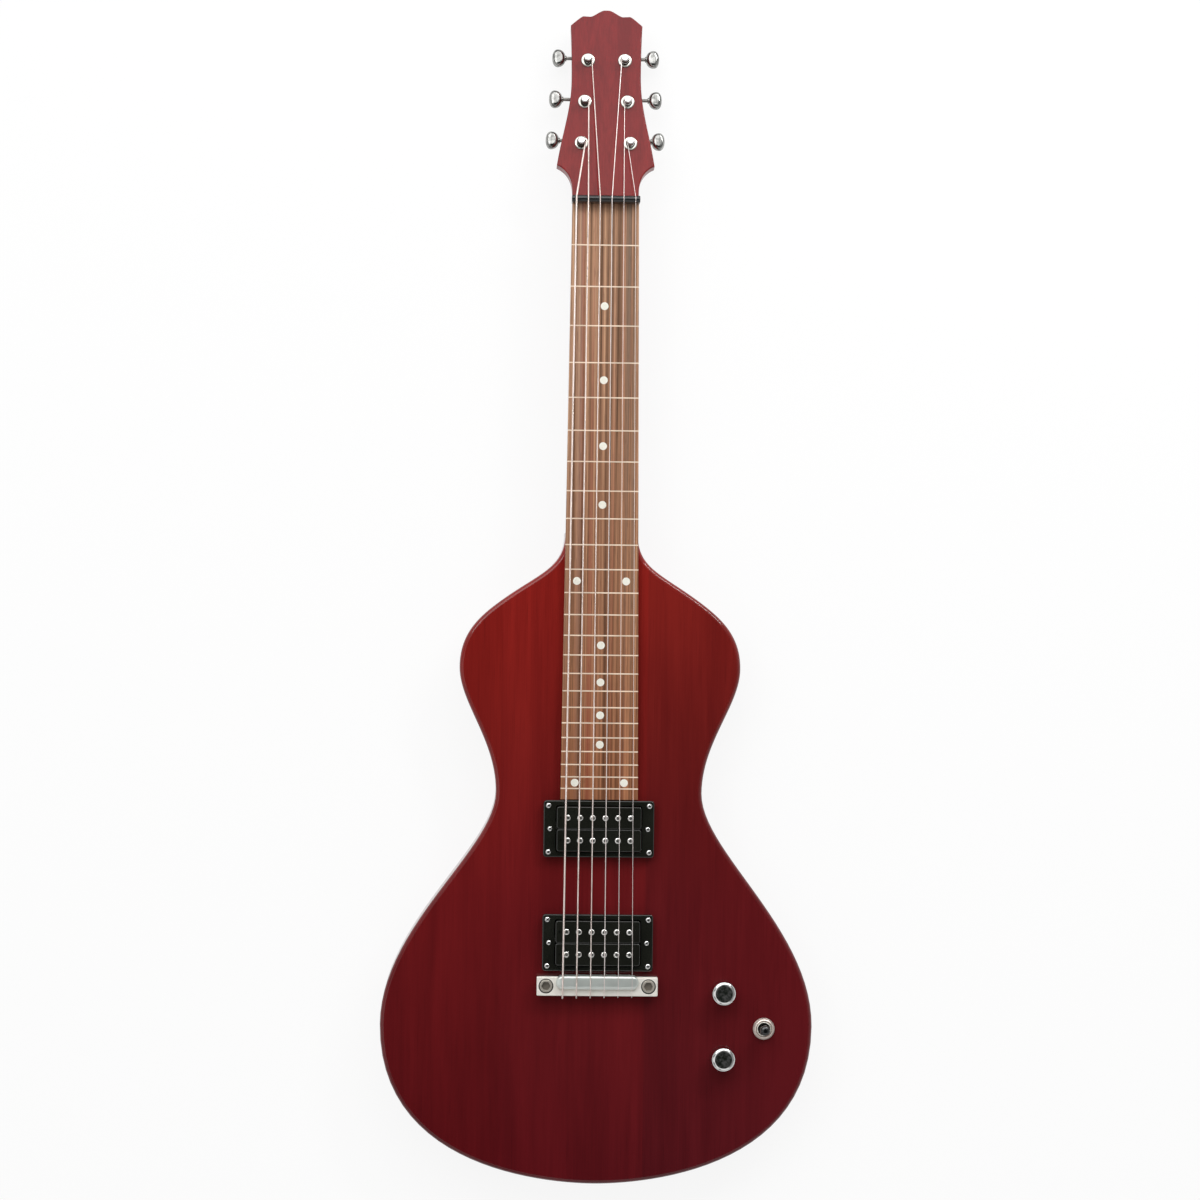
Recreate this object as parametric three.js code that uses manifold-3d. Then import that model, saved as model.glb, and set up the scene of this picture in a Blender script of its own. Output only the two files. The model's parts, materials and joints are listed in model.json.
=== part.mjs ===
// Lap steel guitar lying on its back. All lengths are millimetres.
// +X points to the treble side, +Y from the tail to the headstock and +Z out of the face.
// The origin is on the flat back, on the centre line, straight below the saddle.
import * as THREE from 'three';
import { mergeVertices } from 'three/addons/utils/BufferGeometryUtils.js';
import Module from 'manifold-3d';

const wasm = await Module();
wasm.setup();

// Fits between pieces
const clearance = 0.3;
const seatGap = 0.1;
const overrun = 3;

// Facets round a circle, from the largest rounds to screws
const wideSides = 16;
const roundSides = 14;
const smallSides = 10;
const tinySides = 8;
const screwSides = 6;
const outlineSteps = 7;
const headSteps = 4;
const profileSteps = 5;
const cornerSteps = 2;

// The instrument as a whole
const scaleLength = 635;
const bodyThickness = 44.5;
const edgeRound = 5;
const edgeRoundSteps = 2;
const stringHeight = 15.5;

// Body outline: widths across the guitar, and the stretches along it from each to the next
const lowerBoutPlace = -34.2;
const lowerBoutWidth = 351.6;
const tailStretch = 128.8;
const flankStretch = 189.2;
const waistWidth = 167.6;
const chestStretch = 101.5;
const upperBoutWidth = 228.6;
const shoulderStretch = 54.1;
const shoulderWidth = 161.8;
const shoulderAngle = 53.7;
const filletStretch = 55.4;
// How far each curve keeps the direction of its end, as shares of the stretch it spans
const tailShares = [0.203, 0.927];
const flankShares = [0.42, 0.248];
const chestShares = [0.414, 0.292];
const shoulderShares = [0.482, 0.442];
const filletShares = [0.7, 0.515];

// Fingerboard
const boardThickness = 6;
const boardNutWidth = 54;
const boardEndWidth = 63;
const boardBeyondLastFret = 8.85;
const fretCount = 24;
const octaveFretCount = 12;
const singleDotFretCounts = [3, 5, 7, 9];
const fretLineWidth = 1;
const inlayProud = 0.12;
const inlayDepth = 1;
const dotDiameter = 6.35;
const dotPairSpacing = 40;

// Nut
const nutThickness = 6;
const nutWidth = 55.2;
const nutSetback = 1;

// Strings, from the bass side to the treble side
const stringDiameters = [1.42, 1.12, 0.86, 0.66, 0.46, 0.38];
const stringIndexes = [...stringDiameters.keys()];
const stringSpreadAtNut = 47.8;
const stringSpreadAtBridge = 56.2;
const stringSides = 5;
const nutRouteStops = 4;
const ballDiameter = 3.8;
const ballLength = 3.2;

// Neck and its tenon in the body
const neckDepthAtNut = 22;
const neckDepthAtBody = 26;
const neckSquareness = 2.6;
const heelDepth = 38;
const heelLength = 42;
const tenonWidth = 44;
const tenonDepth = 24;
const tenonLength = 166;

// Headstock, measured in its own tilted plane from the back of the nut
const headTilt = 7;
const headThickness = 14;
const headEdge = 1;
const voluteLength = 26;
const headLength = 156.2;
const earWidth = 79.6;
const earPlace = 26.1;
const headBasePlace = 3.4;
const headWaistWidth = 56.4;
const headWaistPlace = 101;
const headCornerWidth = 58.6;
const headCornerPlace = 143.2;
const bumpWidth = 38;
const bumpPlace = 151.1;
const notchWidth = 27;
const notchPlace = 150.8;
const crownWidth = 3;
const earShare = 0.75;
const headSideShares = [0.4, 0.38];
const bumpShare = 0.85;
const crownShares = [0.25, 0.3];

// Machine heads, one to a string
const tunerPlaces = [44.7, 79.3, 113.9];
const tunerSpreads = [39.8, 34.8, 30.1];
const postDiameter = 6.1;
const postWaistDiameter = 4.8;
const postHeight = 9.6;
const postTip = 0.8;
const wrapHigh = 6.3;
const waistBottom = 2.6;
const waistTop = 7;
const wrapTurns = 1.5;
const wrapSteps = tinySides;
const wrapGap = 0.45;
const wrapLooseness = 0.1;
const bushingDiameter = 8.6;
const bushingDepth = 8;
const flangeDiameter = 11.2;
const flangeHeight = 1.5;
const plateThickness = 1.2;
const plateWidth = 13.6;
const plateTailReach = 12.6;
const plateHeadReach = 16.6;
const plateCorner = 3;
const earThickness = 1.3;
const earSpan = 6.4;
const wheelTeeth = 12;
const wheelPitchDiameter = 8.6;
const wheelWidth = 3;
const wheelHubDiameter = 6.6;
const wormPitchDiameter = 4.6;
const wormLength = 7;
const wormDrop = 3.2;
const toothAbovePitch = 0.35;
const toothBelowPitch = 0.65;
const toothCrestShare = 0.06;
const wormShaftDiameter = 2.9;
const collarDiameter = 4.8;
const collarLength = 1.4;
const buttonReach = 23.4;
const buttonLength = 11;
const buttonWidth = 16.1;
const buttonThickness = 7.4;
const buttonEggShare = 0.24;

// Pickups, both alike
const pickupClearOfBoard = 0.8;
const pickupClearOfBridge = 2.7;
const ringSideBorder = 10.6;
const ringEndBorder = 4.85;
const ringHeight = 7;
const ringCorner = 2.5;
const ringEdge = 0.8;
const bobbinLength = 68.6;
const bobbinHeight = 11.2;
const bobbinCorner = 2.5;
const bobbinFlange = 1.6;
const bobbinCoilInset = 1.2;
const bobbinProud = 4;
const poleRowSpacing = 18.3;
const polePitch = 10.2;
const poleDiameter = 4.8;
const poleProud = 0.8;
const keeperWidth = 5.4;
const keeperInset = 2.3;
const magnetInset = 3.3;
const magnetThickness = 3.2;
const basePlateThickness = 1;
const basePlateInset = 1.3;
const footDrop = 6;
const footWidth = 10;
const heightScrewDiameter = 2.6;
const heightScrewHead = 4;
const heightScrewHeadHeight = 1.2;
const heightScrewTail = 3;
const pickupCavityDepth = 24;
const pickupCavityMargin = 1.6;
const footPocketWidth = 18;
const footPocketRoom = 4;

// Bridge: a block on two studs with a raised saddle bar; the strings wrap round its tail edge
const bridgeWidth = 98;
const bridgeBack = 8.9;
const bridgeFront = 6.5;
const bridgeBlockHeight = 6.6;
const bridgeLift = 4;
const bridgeCorner = 2;
const bridgeEdge = 0.8;
const saddleWidth = 67;
const saddleFront = 8.1;
const saddleBack = 3.3;
const saddleNoseShares = { front: 0.55, back: 0.62 };
const stringHoleDrop = 3.9;
const stringHoleDiameter = 2.2;
const ballRoom = 0.4;
const ballPocketDepth = 4;
const studSpread = 83;
const studPlace = -1;
const studHeadDiameter = 10.4;
const studHeadHeight = 3.2;
const studHexAcross = 6.4;
const studHexDepth = 2.6;
const studNeckDiameter = 7;
const studFlangeDiameter = 12;
const studFlangeHeight = 2;
const studShankDiameter = 9;
const studShankLength = 18;

// Controls: two knobs in line and the selector beside them
const knobFromRim = 73.1;
const volumeAboveJack = 28.4;
const toneBelowJack = 25;
const selectorFromRim = 39.6;
const selectorBelowJack = 1.3;
const knobDiameter = 19;
const knobHeight = 16;
const knobEdge = 2.6;
const knobDome = 1.6;
const knobEdgeShares = { inset: 0.25, fall: 0.4 };
const knobSkirtDiameter = 15;
const knobSkirtDepth = 3.6;
const knobLift = 0.8;
const potShaftDiameter = 6;
const potShaftDepth = 12;
const potBushingDiameter = 9.4;
const potNutAcross = 11.6;
const potNutHeight = 2.2;
const potWasherDiameter = 13.6;
const potWasherHeight = 0.7;
const potCanDiameter = 24;
const potCanHeight = 8.5;
const potLugWidth = 15;
const potLugReach = 6;
const potLugThickness = 1.6;

// Selector switch
const selectorBarrelDiameter = 11.6;
const selectorNutDiameter = 17.8;
const selectorNutHeight = 3.2;
const selectorCollarDiameter = 14;
const selectorCollarHeight = 1.4;
const selectorBore = 7;
const selectorFrameWidth = 12;
const selectorFrameLength = 26;
const selectorFrameHeight = 21;
const leverBallDiameter = 6;
const leverDiameter = 3;
const leverTipDiameter = 8.6;
const leverTipLength = 10;
const leverTipShares = { bottom: 0.72, top: 0.24 };
const leverLength = 18;

// Control cavity, its cover and the wire routes
const controlWood = 6;
const controlMargin = 20;
const coverMargin = 7;
const coverThickness = 2;
const coverScrewDiameter = 5;
const coverScrewSlot = 0.9;
const wireRouteDiameter = 8;
const wireRouteHeight = 28;

// Output jack, let into the rim at the widest place
const jackRecessDiameter = 22;
const jackRecessDepth = 5;
const jackBarrelDiameter = 12.5;
const jackBarrelLength = 26;
const jackBore = 6.6;
const jackEndWall = 2.4;
const jackWasherDiameter = 19;
const jackWasherHeight = 1;
const jackNutAcross = 15.5;
const jackNutHeight = 2.6;

// Places that follow from the sizes above
const faceZ = bodyThickness;
const boardTop = faceZ + boardThickness;
const tailPlace = lowerBoutPlace - tailStretch;
const waistPlace = lowerBoutPlace + flankStretch;
const upperBoutPlace = waistPlace + chestStretch;
const shoulderPlace = upperBoutPlace + shoulderStretch;
const bodyEndPlace = shoulderPlace + filletStretch;
const stringZ = faceZ + stringHeight;
const nutPlace = scaleLength + nutSetback;
const boardNutPlace = nutPlace - nutThickness / 2 - seatGap;
const boardEndPlace = fretPlace(fretCount) - boardBeyondLastFret;
const boardLength = boardNutPlace - boardEndPlace;
const headPivotPlace = nutPlace + nutThickness / 2 + seatGap;
const bobbinWidth = poleRowSpacing - clearance;
const bobbinPairLength = poleRowSpacing + bobbinWidth;
const ringWidth = bobbinLength + 2 * ringSideBorder;
const ringLength = bobbinPairLength + 2 * ringEndBorder;
const heightScrewSpread = bobbinLength + ringSideBorder;
const keeperLength = bobbinLength - 2 * keeperInset;
const magnetLength = bobbinLength - 2 * magnetInset;
const magnetWidth = poleRowSpacing - keeperWidth - 2 * clearance;
const basePlateWidth = bobbinLength - 2 * basePlateInset;
const basePlateLength = bobbinPairLength - 2 * basePlateInset;
const neckPickupPlace = boardEndPlace - pickupClearOfBoard - ringLength / 2;
const bridgePickupPlace = saddleFront + pickupClearOfBridge + ringLength / 2;
const bridgeTop = faceZ + bridgeLift + bridgeBlockHeight;
const stringHoleZ = bridgeTop - stringHoleDrop;
const saddleZ = stringZ - Math.max(...stringDiameters) / 2;
const controlCeiling = faceZ - controlWood;
const knobLine = lowerBoutWidth / 2 - knobFromRim;
const volumePlace = lowerBoutPlace + volumeAboveJack;
const tonePlace = lowerBoutPlace - toneBelowJack;
const selectorLine = lowerBoutWidth / 2 - selectorFromRim;
const selectorPlace = lowerBoutPlace - selectorBelowJack;
const tiltAngle = THREE.MathUtils.degToRad(headTilt);
const plateTop = -headThickness - clearance;
const plateBottom = plateTop - plateThickness;
const wormHeight = plateBottom - wormDrop;
const wormCentreDistance = (wheelPitchDiameter + wormPitchDiameter) / 2;
const threadPitch = Math.PI * wheelPitchDiameter / wheelTeeth;
const wormEarPlace = wormLength / 2 + clearance + earThickness / 2;
const jackHeight = bodyThickness / 2;

// Solids and meshes

function toSolid(geometry) {
  const bare = geometry.clone();
  bare.deleteAttribute('normal');
  bare.deleteAttribute('uv');
  const welded = mergeVertices(bare);
  const corners = welded.index.array;
  const kept = [];
  for (let i = 0; i < corners.length; i += 3) {
    const [a, b, c] = [corners[i], corners[i + 1], corners[i + 2]];
    if (a !== b && b !== c && c !== a) kept.push(a, b, c);
  }
  const vertProperties = new Float32Array(welded.attributes.position.array);
  const solidOf = (triVerts) => new wasm.Manifold(new wasm.Mesh({ numProp: 3, vertProperties, triVerts }));
  const solid = solidOf(new Uint32Array(kept));
  return solid.volume() > 0 ? solid : solidOf(new Uint32Array(kept.reverse()));
}

function toGeometry(solid) {
  const mesh = solid.getMesh();
  const geometry = new THREE.BufferGeometry();
  geometry.setAttribute('position', new THREE.BufferAttribute(new Float32Array(mesh.vertProperties), 3));
  geometry.setIndex(new THREE.BufferAttribute(new Uint32Array(mesh.triVerts), 1));
  geometry.computeVertexNormals();
  return geometry;
}

function unite(...geometries) {
  return toGeometry(geometries.map(toSolid).reduce((whole, piece) => whole.add(piece)));
}

function carve(geometry, ...cutters) {
  const whole = toSolid(geometry);
  return toGeometry(cutters.map(toSolid).reduce((left, cutter) => left.subtract(cutter), whole));
}

function common(first, second) {
  return toGeometry(toSolid(first).intersect(toSolid(second)));
}

// Basic forms, all standing along Z unless a function says otherwise

function rod(diameter, bottom, top, sides) {
  const geometry = new THREE.CylinderGeometry(diameter / 2, diameter / 2, top - bottom, sides);
  return geometry.rotateX(Math.PI / 2).translate(0, 0, (bottom + top) / 2);
}

function hexRod(acrossFlats, bottom, top) {
  return rod(acrossFlats / Math.cos(Math.PI / 6), bottom, top, 6);
}

function box(low, high) {
  const size = new THREE.Vector3(...high).sub(new THREE.Vector3(...low));
  const centre = new THREE.Vector3(...high).add(new THREE.Vector3(...low)).divideScalar(2);
  return new THREE.BoxGeometry(size.x, size.y, size.z).translate(centre.x, centre.y, centre.z);
}

function turned(profile, sides) {
  const points = profile.map(([radius, height]) => new THREE.Vector2(radius, height));
  return new THREE.LatheGeometry(points, sides).rotateX(Math.PI / 2);
}

function slab(shape, bottom, top, curveSegments = cornerSteps) {
  const settings = { depth: top - bottom, bevelEnabled: false, curveSegments };
  return new THREE.ExtrudeGeometry(shape, settings).translate(0, 0, bottom);
}

function softSlab(shape, bottom, top, edge, bevelSegments = 1, curveSegments = cornerSteps) {
  const settings = {
    depth: top - bottom - 2 * edge,
    bevelThickness: edge,
    bevelSize: edge,
    bevelOffset: -edge,
    bevelSegments,
    curveSegments,
  };
  return new THREE.ExtrudeGeometry(shape, settings).translate(0, 0, bottom + edge);
}

// A profile drawn in the Y-Z plane and drawn out along X
function acrossBar(shape, halfWidth, curveSegments = cornerSteps) {
  const settings = { depth: 2 * halfWidth, bevelEnabled: false, curveSegments };
  const turn = new THREE.Matrix4().makeBasis(
    new THREE.Vector3(0, 1, 0), new THREE.Vector3(0, 0, 1), new THREE.Vector3(1, 0, 0));
  return new THREE.ExtrudeGeometry(shape, settings).applyMatrix4(turn).translate(-halfWidth, 0, 0);
}

function roundedRectangle(width, length, corner, Path = THREE.Shape) {
  const [x, y] = [width / 2, length / 2];
  const path = new Path();
  path.moveTo(x, corner - y);
  path.absarc(x - corner, y - corner, corner, 0, Math.PI / 2);
  path.absarc(corner - x, y - corner, corner, Math.PI / 2, Math.PI);
  path.absarc(corner - x, corner - y, corner, Math.PI, 1.5 * Math.PI);
  path.absarc(x - corner, corner - y, corner, 1.5 * Math.PI, 2 * Math.PI);
  path.closePath();
  return path;
}

// The outline that a band round equal circles takes; the centres run anticlockwise
function bandRound(centres, radius) {
  const shape = new THREE.Shape();
  centres.forEach(([x, y], i) => {
    const [beforeX, beforeY] = centres[(i + centres.length - 1) % centres.length];
    const [afterX, afterY] = centres[(i + 1) % centres.length];
    const start = Math.atan2(y - beforeY, x - beforeX) - Math.PI / 2;
    let end = Math.atan2(afterY - y, afterX - x) - Math.PI / 2;
    if (end < start) end += 2 * Math.PI;
    shape.absarc(x, y, radius, start, end);
  });
  shape.closePath();
  return shape;
}

// A tube whose rings lie exactly on the given points
class Route extends THREE.CatmullRomCurve3 {
  getPointAt(share, target) {
    return this.getPoint(share, target);
  }

  getTangentAt(share, target) {
    return this.getTangent(share, target);
  }
}

function routeTube(points, diameter, sides) {
  const section = new THREE.Shape();
  for (let i = 0; i < sides; i += 1) {
    const angle = 2 * Math.PI * i / sides;
    const [x, y] = [diameter / 2 * Math.cos(angle), diameter / 2 * Math.sin(angle)];
    if (i === 0) section.moveTo(x, y);
    else section.lineTo(x, y);
  }
  section.closePath();
  const extrudePath = new Route(points);
  return new THREE.ExtrudeGeometry(section, { steps: points.length - 1, extrudePath, curveSegments: 1 });
}

// A skin over rings of equal count, closed at both ends; each ring is convex
function loft(rings) {
  const count = rings[0].length;
  const positions = rings.flat().flatMap((point) => [point.x, point.y, point.z]);
  const index = [];
  for (let i = 0; i + 1 < rings.length; i += 1) {
    for (let j = 0; j < count; j += 1) {
      const [a, b] = [i * count + j, i * count + (j + 1) % count];
      index.push(a, b, b + count, a, b + count, a + count);
    }
  }
  const last = (rings.length - 1) * count;
  for (let j = 1; j + 1 < count; j += 1) {
    index.push(0, j + 1, j);
    index.push(last, last + j, last + j + 1);
  }
  const geometry = new THREE.BufferGeometry();
  geometry.setAttribute('position', new THREE.Float32BufferAttribute(positions, 3));
  geometry.setIndex(index);
  return geometry;
}

function point(x, y, z) {
  return new THREE.Vector3(x, y, z);
}

function mix(start, end, share) {
  return start + (end - start) * share;
}

// Every mesh of the object, with its own material
const guitar = new THREE.Group();
const headGroup = new THREE.Group();
headGroup.position.set(0, headPivotPlace, faceZ);
headGroup.rotation.x = -tiltAngle;
headGroup.updateMatrixWorld();
guitar.add(headGroup);

const finishes = {
  mahogany: { color: 0x64161b, roughness: 0.35, metalness: 0 },
  rosewood: { color: 0x6f4a3a, roughness: 0.55, metalness: 0 },
  blackPlastic: { color: 0x141414, roughness: 0.4, metalness: 0 },
  chrome: { color: 0xd8d8d6, roughness: 0.12, metalness: 1 },
  steel: { color: 0xb9b6b0, roughness: 0.3, metalness: 1 },
  nickel: { color: 0xa8a49a, roughness: 0.35, metalness: 1 },
  darkMagnet: { color: 0x4c4a48, roughness: 0.6, metalness: 0.4 },
};

function addPiece(name, finish, geometry, place = [0, 0, 0], parent = guitar) {
  const material = new THREE.MeshStandardMaterial(finishes[finish]);
  const mesh = new THREE.Mesh(toGeometry(toSolid(geometry)), material);
  mesh.name = name;
  mesh.position.set(...place);
  parent.add(mesh);
  return mesh;
}

// Body

function boardHalfWidth(y) {
  return mix(boardEndWidth, boardNutWidth, (y - boardEndPlace) / boardLength) / 2;
}

// One flank as cubic curves: two handles and an end each, going from the tail to the neck
function bodyFlank() {
  const lower = [lowerBoutWidth / 2, lowerBoutPlace];
  const waist = [waistWidth / 2, waistPlace];
  const upper = [upperBoutWidth / 2, upperBoutPlace];
  const shoulder = [shoulderWidth / 2, shoulderPlace];
  const join = [boardHalfWidth(bodyEndPlace), bodyEndPlace];
  const leaning = THREE.MathUtils.degToRad(shoulderAngle);
  const straight = ([x, y], length) => [x, y + length];
  const leant = ([x, y], length) => [x - Math.sin(leaning) * length, y + Math.cos(leaning) * length];
  return [
    [[tailShares[0] * lower[0], tailPlace], straight(lower, -tailShares[1] * tailStretch), lower],
    [straight(lower, flankShares[0] * flankStretch), straight(waist, -flankShares[1] * flankStretch), waist],
    [straight(waist, chestShares[0] * chestStretch), straight(upper, -chestShares[1] * chestStretch), upper],
    [straight(upper, shoulderShares[0] * shoulderStretch),
      leant(shoulder, -shoulderShares[1] * shoulderStretch), shoulder],
    [leant(shoulder, filletShares[0] * filletStretch),
      straight(join, -filletShares[1] * filletStretch), join],
  ];
}

// Runs up the right flank, calls the cap, and comes down the left one
function mirroredShape(start, flank, cap) {
  const shape = new THREE.Shape();
  shape.moveTo(...start);
  for (const [first, second, end] of flank) shape.bezierCurveTo(...first, ...second, ...end);
  cap(shape);
  for (let i = flank.length - 1; i >= 0; i -= 1) {
    const [first, second] = flank[i];
    const end = i > 0 ? flank[i - 1][2] : start;
    shape.bezierCurveTo(-second[0], second[1], -first[0], first[1], -end[0], end[1]);
  }
  return shape;
}

function controlStations() {
  return [[knobLine, volumePlace], [knobLine, tonePlace], [selectorLine, selectorPlace]];
}

function pickupCavity(place) {
  const margin = pickupCavityMargin;
  const well = roundedRectangle(bobbinLength + 2 * margin, bobbinPairLength + 2 * margin, bobbinCorner);
  const feet = roundedRectangle(heightScrewSpread + 2 * footPocketRoom, footPocketWidth, bobbinCorner);
  const bottom = faceZ - pickupCavityDepth;
  const top = faceZ + overrun;
  return unite(slab(well, bottom, top, 1), slab(feet, bottom, top, 1)).translate(0, place, 0);
}

function bore(diameter, from, to, sides) {
  const start = point(...from);
  const end = point(...to);
  const geometry = rod(diameter, 0, start.distanceTo(end), sides);
  const turn = new THREE.Quaternion().setFromUnitVectors(point(0, 0, 1), end.clone().sub(start).normalize());
  return geometry.applyQuaternion(turn).translate(start.x, start.y, start.z);
}

function makeBody() {
  const capHalf = boardHalfWidth(bodyEndPlace);
  const blankEnd = bodyEndPlace + edgeRound + overrun;
  const outline = mirroredShape([0, tailPlace], bodyFlank(), (shape) => {
    shape.lineTo(capHalf, blankEnd);
    shape.lineTo(-capHalf, blankEnd);
    shape.lineTo(-capHalf, bodyEndPlace);
  });
  const blank = softSlab(outline, 0, bodyThickness, edgeRound, edgeRoundSteps, outlineSteps);
  const farEnd = box([-capHalf - overrun, bodyEndPlace, -overrun],
    [capHalf + overrun, blankEnd + overrun, faceZ + overrun]);
  const mortise = box(
    [-tenonWidth / 2 - clearance, bodyEndPlace - tenonLength - clearance, faceZ - tenonDepth - clearance],
    [tenonWidth / 2 + clearance, bodyEndPlace + overrun, faceZ + overrun]);
  const control = slab(bandRound(controlStations(), controlMargin), -overrun, controlCeiling, profileSteps);
  const coverSeat = slab(bandRound(controlStations(), controlMargin + coverMargin), -overrun,
    coverThickness + 2 * seatGap, profileSteps);
  const potHoles = [volumePlace, tonePlace].map((place) => (
    rod(potBushingDiameter + 2 * clearance, controlCeiling - overrun, faceZ + overrun, smallSides)
      .translate(knobLine, place, 0)));
  const selectorHole = rod(selectorBarrelDiameter + 2 * clearance, controlCeiling - overrun, faceZ + overrun,
    smallSides).translate(selectorLine, selectorPlace, 0);
  const studHoles = [-studSpread / 2, studSpread / 2].map((x) => (
    rod(studShankDiameter + 2 * clearance, faceZ - studShankLength - clearance, faceZ + overrun, smallSides)
      .translate(x, studPlace, 0)));
  const rim = lowerBoutWidth / 2;
  const jackHole = bore(jackBarrelDiameter + 2 * clearance, [selectorLine, lowerBoutPlace, jackHeight],
    [rim + overrun, lowerBoutPlace, jackHeight], roundSides);
  const jackRecess = bore(jackRecessDiameter, [rim - jackRecessDepth, lowerBoutPlace, jackHeight],
    [rim + overrun, lowerBoutPlace, jackHeight], wideSides);
  const pickupWire = bore(wireRouteDiameter, [0, bridgePickupPlace, wireRouteHeight],
    [0, neckPickupPlace, wireRouteHeight], screwSides);
  const controlWire = bore(wireRouteDiameter, [bobbinLength / 2 - wireRouteDiameter, bridgePickupPlace,
    wireRouteHeight], [knobLine, volumePlace, wireRouteHeight], screwSides);
  const wells = [pickupCavity(neckPickupPlace), pickupCavity(bridgePickupPlace), control, coverSeat];
  const holes = [...potHoles, selectorHole, ...studHoles, jackHole, jackRecess, pickupWire, controlWire];
  const body = carve(blank, farEnd, mortise, ...wells, ...holes);
  addPiece('body', 'mahogany', body);
}

// Neck and headstock, one piece of wood

function headOutline() {
  const base = [boardNutWidth / 2, headBasePlace];
  const ear = [earWidth / 2, earPlace];
  const waist = [headWaistWidth / 2, headWaistPlace];
  const corner = [headCornerWidth / 2, headCornerPlace];
  const bump = [bumpWidth / 2, bumpPlace];
  const notch = [notchWidth / 2, notchPlace];
  const crown = [crownWidth / 2, headLength];
  const rise = headWaistPlace - earPlace;
  const lean = (ear[0] - waist[0]) * headSideShares[0];
  const at = ([x, y]) => new THREE.Vector2(x, y);
  const line = (from, to) => new THREE.LineCurve(at(from), at(to));
  const bend = (from, handle, to) => new THREE.QuadraticBezierCurve(at(from), at(handle), at(to));
  const sweep = (...stops) => new THREE.CubicBezierCurve(...stops.map(at));
  const curves = [
    line([base[0], -headEdge], base),
    bend(base, [base[0], mix(base[1], ear[1], earShare)], ear),
    sweep(ear, [ear[0] - lean, ear[1] + headSideShares[0] * rise],
      [waist[0], waist[1] - headSideShares[1] * rise], waist),
    bend(waist, [waist[0], mix(waist[1], corner[1], 1 / 2)], corner),
    bend(corner, [mix(corner[0], bump[0], bumpShare), bump[1]], bump),
    line(bump, notch),
    sweep(notch, [mix(notch[0], crown[0], crownShares[0]), notch[1]],
      [mix(crown[0], notch[0], crownShares[1]), crown[1]], crown),
  ];
  const right = curves.flatMap((curve, i) => {
    const steps = curve.isLineCurve ? 1 : headSteps;
    return curve.getPoints(steps).slice(i === 0 ? 0 : 1);
  });
  const left = right.map((place) => new THREE.Vector2(-place.x, place.y)).reverse();
  return new THREE.Shape([...right, ...left]);
}

function neckRing(y) {
  const beyondNut = Math.max(0, y - headPivotPlace) / voluteLength;
  const towardBody = Math.max(0, (headPivotPlace - y) / (headPivotPlace - bodyEndPlace));
  const heelEase = Math.max(0, 1 - (y - bodyEndPlace) / heelLength) ** 2;
  const neckDepth = mix(mix(neckDepthAtNut, neckDepthAtBody, towardBody), heelDepth, heelEase);
  const depth = mix(neckDepth, headThickness - headEdge, beyondNut * beyondNut * (3 - 2 * beyondNut));
  const sunk = beyondNut > 0 ? headEdge / 2 : 0;
  const top = faceZ - Math.max(0, y - headPivotPlace) * Math.tan(tiltAngle) - sunk;
  const half = boardHalfWidth(Math.min(y, boardNutPlace));
  const ring = [];
  for (let i = 0; i <= 2 * profileSteps; i += 1) {
    const angle = Math.PI * i / (2 * profileSteps);
    const reach = Math.abs(Math.cos(angle)) ** (2 / neckSquareness) * Math.sign(Math.cos(angle));
    const fall = Math.abs(Math.sin(angle)) ** (2 / neckSquareness);
    ring.push(point(half * reach, y, top - depth * fall));
  }
  return ring;
}

function makeNeck() {
  const start = bodyEndPlace + clearance;
  const places = [];
  const heelEnd = bodyEndPlace + heelLength;
  for (let i = 0; i < profileSteps; i += 1) places.push(mix(start, heelEnd, i / profileSteps));
  places.push(heelEnd, mix(heelEnd, headPivotPlace, 1 / 2), headPivotPlace);
  for (let i = 1; i <= profileSteps; i += 1) {
    places.push(mix(headPivotPlace, headPivotPlace + voluteLength, i / profileSteps));
  }
  const shaft = loft(places.map(neckRing).reverse());
  const tenon = box([-tenonWidth / 2, bodyEndPlace - tenonLength, faceZ - tenonDepth],
    [tenonWidth / 2, bodyEndPlace + overrun, faceZ]);
  const head = softSlab(headOutline(), -headThickness, 0, headEdge).applyMatrix4(headGroup.matrixWorld);
  const holes = [];
  tunerPlaces.forEach((place, i) => {
    for (const side of [-1, 1]) {
      const hole = rod(bushingDiameter + 2 * clearance, -headThickness - overrun, overrun, smallSides);
      holes.push(hole.translate(side * tunerSpreads[i] / 2, place, 0).applyMatrix4(headGroup.matrixWorld));
    }
  });
  addPiece('neck', 'mahogany', carve(unite(shaft, tenon, head), ...holes));
}

// Fingerboard with its inlaid lines and dots

function fretPlace(fret) {
  return scaleLength * 2 ** (-fret / 12);
}

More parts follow.
